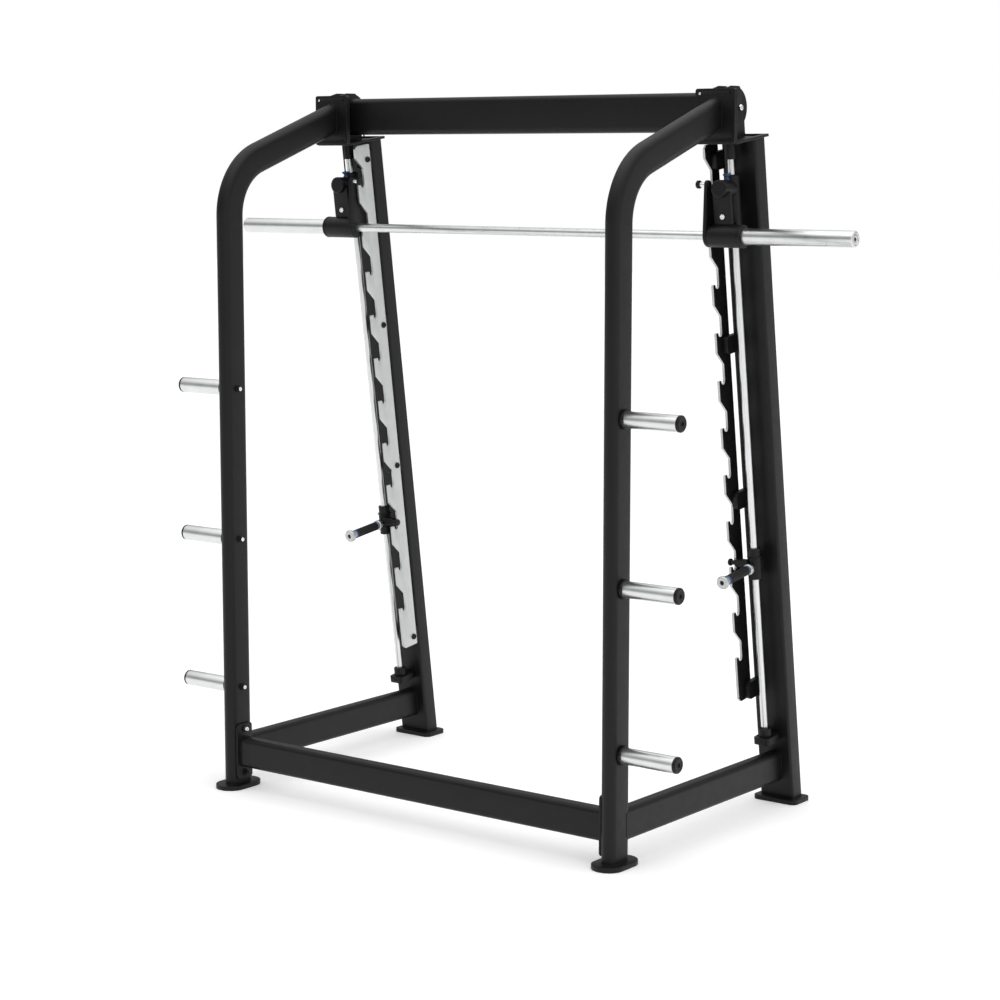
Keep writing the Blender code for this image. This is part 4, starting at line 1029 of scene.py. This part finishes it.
def make_stop(hand):
    side = SIDES[hand]
    node = f"{hand}_stop_bush"
    body = f"{hand}_stop"
    rod = column_point(hand, 0, ROD_AHEAD, 0)
    bush_foot, sleeve = STOP_BOTTOM - 0.0002, 0.0147
    bush_start = (ROD_BORE, bush_foot)
    bush = [bush_start, (sleeve, bush_foot), (sleeve, STOP_SPLIT + GAP), (0.0230, STOP_SPLIT + 0.0001)]
    bush += [(0.0245, STOP_SPLIT + 0.0015), (0.0230, STOP_SPLIT + 0.0030), (0.0190, STOP_SPLIT + 0.0033)]
    bush += [(0.0190, STOP_TOP), (ROD_BORE, STOP_TOP), bush_start]
    turned(f"{hand}_bush_turning", bush, rod, UP_AXIS, "black_plastic", node, node, edge=0.0009, sides=72)
    collar_start, waist = (0.0150, STOP_BOTTOM), STOP_RADIUS - 0.0005
    collar = [collar_start, (STOP_RADIUS, STOP_BOTTOM), (STOP_RADIUS, STOP_BOTTOM + 0.0280)]
    collar += [(waist, STOP_BOTTOM + 0.0290), (waist, STOP_BOTTOM + 0.0320)]
    collar += [(STOP_RADIUS, STOP_BOTTOM + 0.0330), (STOP_RADIUS, STOP_SPLIT), (0.0150, STOP_SPLIT), collar_start]
    node = f"{hand}_stop_collar"
    turned(f"{hand}_collar_turning", collar, rod, UP_AXIS, "fitting_paint", body, node, edge=0.0010, sides=72)
    arm = rounded_box(0.0458, 0.024, 0.006, (0.0341, STOP_PIN_UP))
    place = COLUMNS[hand] @ frame_matrix((0, -0.0665, 0), (-side, 0, 0), (0, 0, 1))
    plate(f"{hand}_stop_arm", [arm], 0.022, place, "fitting_paint", body, edge=0.0025)
    line = column_point(hand, 0, NOTCH_AHEAD, STOP_PIN_UP)
    pin = disc_profile(PIN_RADIUS, 0.050, 0.075)
    turned(f"{hand}_stop_pin", pin, line, (-side, 0, 0), "fitting_paint", body)
    cap = [(0, 0.0725), (0.0115, 0.0725), (0.0115, 0.0790), (0.0095, 0.0810), (0, 0.0810)]
    turned(f"{hand}_stop_cap", cap, line, (-side, 0, 0), "fitting_paint", body)

    base = column_point(hand, 0, 0, STOP_JOINT_UP)
    stem = [(0, 0.0672), (0.0095, 0.0672), (0.0095, 0.079), (0.0150, 0.0795), (0.0180, 0.0825)]
    stem += [(0.0180, 0.0905), (0.0150, 0.0940), (0.0105, 0.0945), (0.0105, 0.1010), (0, 0.1010)]
    node = f"{hand}_stop_handle"
    turned(f"{hand}_handle_base", stem, base, AHEAD_AXIS, "satin_chrome", body, node, edge=0.0010, sides=64)
    ribs = np.linspace(0.1035, 0.2085, 106)
    rib_radius = 0.0148 - 0.00035 * (0.5 + 0.5 * np.cos((ribs - ribs[0]) * 2 * math.pi / 0.0035))
    grip = [(0, 0.1015), (0.0125, 0.1015), (0.0140, 0.1020), *zip(rib_radius, ribs)]
    grip += [(0.0140, 0.2100), (0.0125, 0.2105), (0, 0.2105)]
    turned(f"{hand}_handle_grip", grip, base, AHEAD_AXIS, "grip_rubber", body, edge=0, sides=56)
    for label, at in (("inner", 0.1005), ("outer", 0.2100)):
        ring = ring_profile(0.0151, 0.0100, at, at + 0.0011)
        turned(f"{hand}_handle_{label}_ring", ring, base, AHEAD_AXIS, "blue_ring", body, edge=0.0005)
    knob = [(0, 0.2105), (0.0122, 0.2105), (0.0124, 0.2240), (0.0170, 0.2290), (0.0205, 0.2325)]
    knob += [(0.0210, 0.2405), (0.0185, 0.2445), (0.0072, 0.2445), (0.0066, 0.2395), (0, 0.2395)]
    turned(f"{hand}_handle_knob", knob, base, AHEAD_AXIS, "satin_chrome", body, edge=0.0012, sides=72)
    # A dark rubber disc on the floor of the knob's hollow end: painted shade for the hole.
    hole_shade_at = column_point(hand, 0, 0.2394, STOP_JOINT_UP)
    floor = disc_profile(0.0064, 0, 0.0010)
    turned(f"{hand}_handle_hole_shade", floor, hole_shade_at, AHEAD_AXIS, "grip_rubber", body, edge=0.0002, sides=32)


# Stage

# How bright the studio is from straight down to straight up, as (share of the way, level)
SKY_LEVELS = ((0.0, 0.5), (1.0, 1.4), (0.49, 0.45), (0.52, 0.28), (0.68, 0.36), (0.85, 1.15))
RIGHT_FILL = 0.6


def make_studio_sky():
    """Soft light all round: brightest overhead, dim at the horizon, fuller to the right, seen as white."""
    world = bpy.data.worlds.new("studio_sky")
    world.use_nodes = True
    tree = world.node_tree
    nodes, links = tree.nodes, tree.links
    parts = nodes.new("ShaderNodeSeparateXYZ")
    links.new(nodes.new("ShaderNodeTexCoord").outputs["Generated"], parts.inputs[0])
    height = nodes.new("ShaderNodeMapRange")
    height.inputs["From Min"].default_value = -1
    links.new(parts.outputs["Z"], height.inputs["Value"])
    ramp = nodes.new("ShaderNodeValToRGB")
    links.new(height.outputs["Result"], ramp.inputs["Fac"])
    stops = ramp.color_ramp.elements
    for index, (place, level) in enumerate(SKY_LEVELS):
        stop = stops[index] if index < 2 else stops.new(place)
        stop.position = place
        stop.color = (level, level, level, 1)
    rightward = add_node(tree, "ShaderNodeMath", {0: parts.outputs["X"], 1: 0}, "MAXIMUM")
    fuller = add_node(tree, "ShaderNodeMath", {0: rightward[0], 1: 3}, "POWER")
    filled = {0: fuller[0], 1: RIGHT_FILL, 2: ramp.outputs["Color"]}
    scaled = add_node(tree, "ShaderNodeMath", filled, "MULTIPLY_ADD")
    lit = nodes["Background"]
    links.new(scaled[0], lit.inputs["Strength"])
    lit.inputs["Color"].default_value = (1, 1, 1, 1)
    plain = nodes.new("ShaderNodeBackground")
    plain.inputs["Color"].default_value = (1, 1, 1, 1)
    chosen = nodes.new("ShaderNodeMixShader")
    links.new(nodes.new("ShaderNodeLightPath").outputs["Is Camera Ray"], chosen.inputs["Fac"])
    links.new(lit.outputs[0], chosen.inputs[1])
    links.new(plain.outputs[0], chosen.inputs[2])
    links.new(chosen.outputs[0], nodes["World Output"].inputs["Surface"])
    return world


def make_stage():
    """A pale floor that fades into the background, soft lights and the camera."""
    work = bmesh.new()
    bmesh.ops.create_grid(work, x_segments=1, y_segments=1, size=30)
    mesh = bpy.data.meshes.new("studio_floor")
    work.to_mesh(mesh)
    work.free()
    floor = link_object("studio_floor", mesh)
    paper = bpy.data.materials.new("studio_paper")
    paper.use_nodes = True
    shader = paper.node_tree.nodes["Principled BSDF"]
    shader.inputs["Base Color"].default_value = (0.93, 0.93, 0.93, 1)
    shader.inputs["Roughness"].default_value = 0.9
    shader.inputs["Specular IOR Level"].default_value = 0.1
    shader.inputs["Emission Color"].default_value = (1, 1, 1, 1)
    shader.inputs["Emission Strength"].default_value = 0.16
    mesh.materials.append(paper)

    bpy.context.scene.world = make_studio_sky()

    softbox = bpy.data.lights.new("overhead_softbox", "AREA")
    softbox.shape = "RECTANGLE"
    softbox.size = softbox.size_y = 4.0
    softbox.energy = 40
    lamp = link_object("overhead_softbox", softbox)
    lamp.location = (0.5, -0.6, 5.2)
    aim = Vector((0, 0, 0.8)) - lamp.location
    lamp.rotation_euler = aim.to_track_quat("-Z", "Y").to_euler()

    camera_data = bpy.data.cameras.new("studio_camera")
    camera_data.lens = 87.3
    camera_data.sensor_width = 36
    camera_data.clip_end = 100
    camera = link_object("studio_camera", camera_data)
    camera.location = (4.734, -6.1914, 2.0854)
    camera.rotation_euler = (math.radians(90 - 8.09), 0, math.radians(37.5))
    bpy.context.scene.camera = camera
    bpy.context.scene.view_settings.view_transform = "Standard"


make_stage()
make_beams()
make_bar()
for hand in SIDES:
    make_uprights(hand)
    make_top_joint(hand)
    make_feet(hand)
    make_side_beam(hand)
    make_post(hand)
    make_pegs(hand)
    make_rack(hand)
    make_lugs(hand)
    make_rod(hand)
    make_pulley(hand)
    make_cable(hand)
    make_counterweight(hand)
    make_carriage(hand)
    make_latch(hand)
    make_sleeve(hand)
    make_stop(hand)
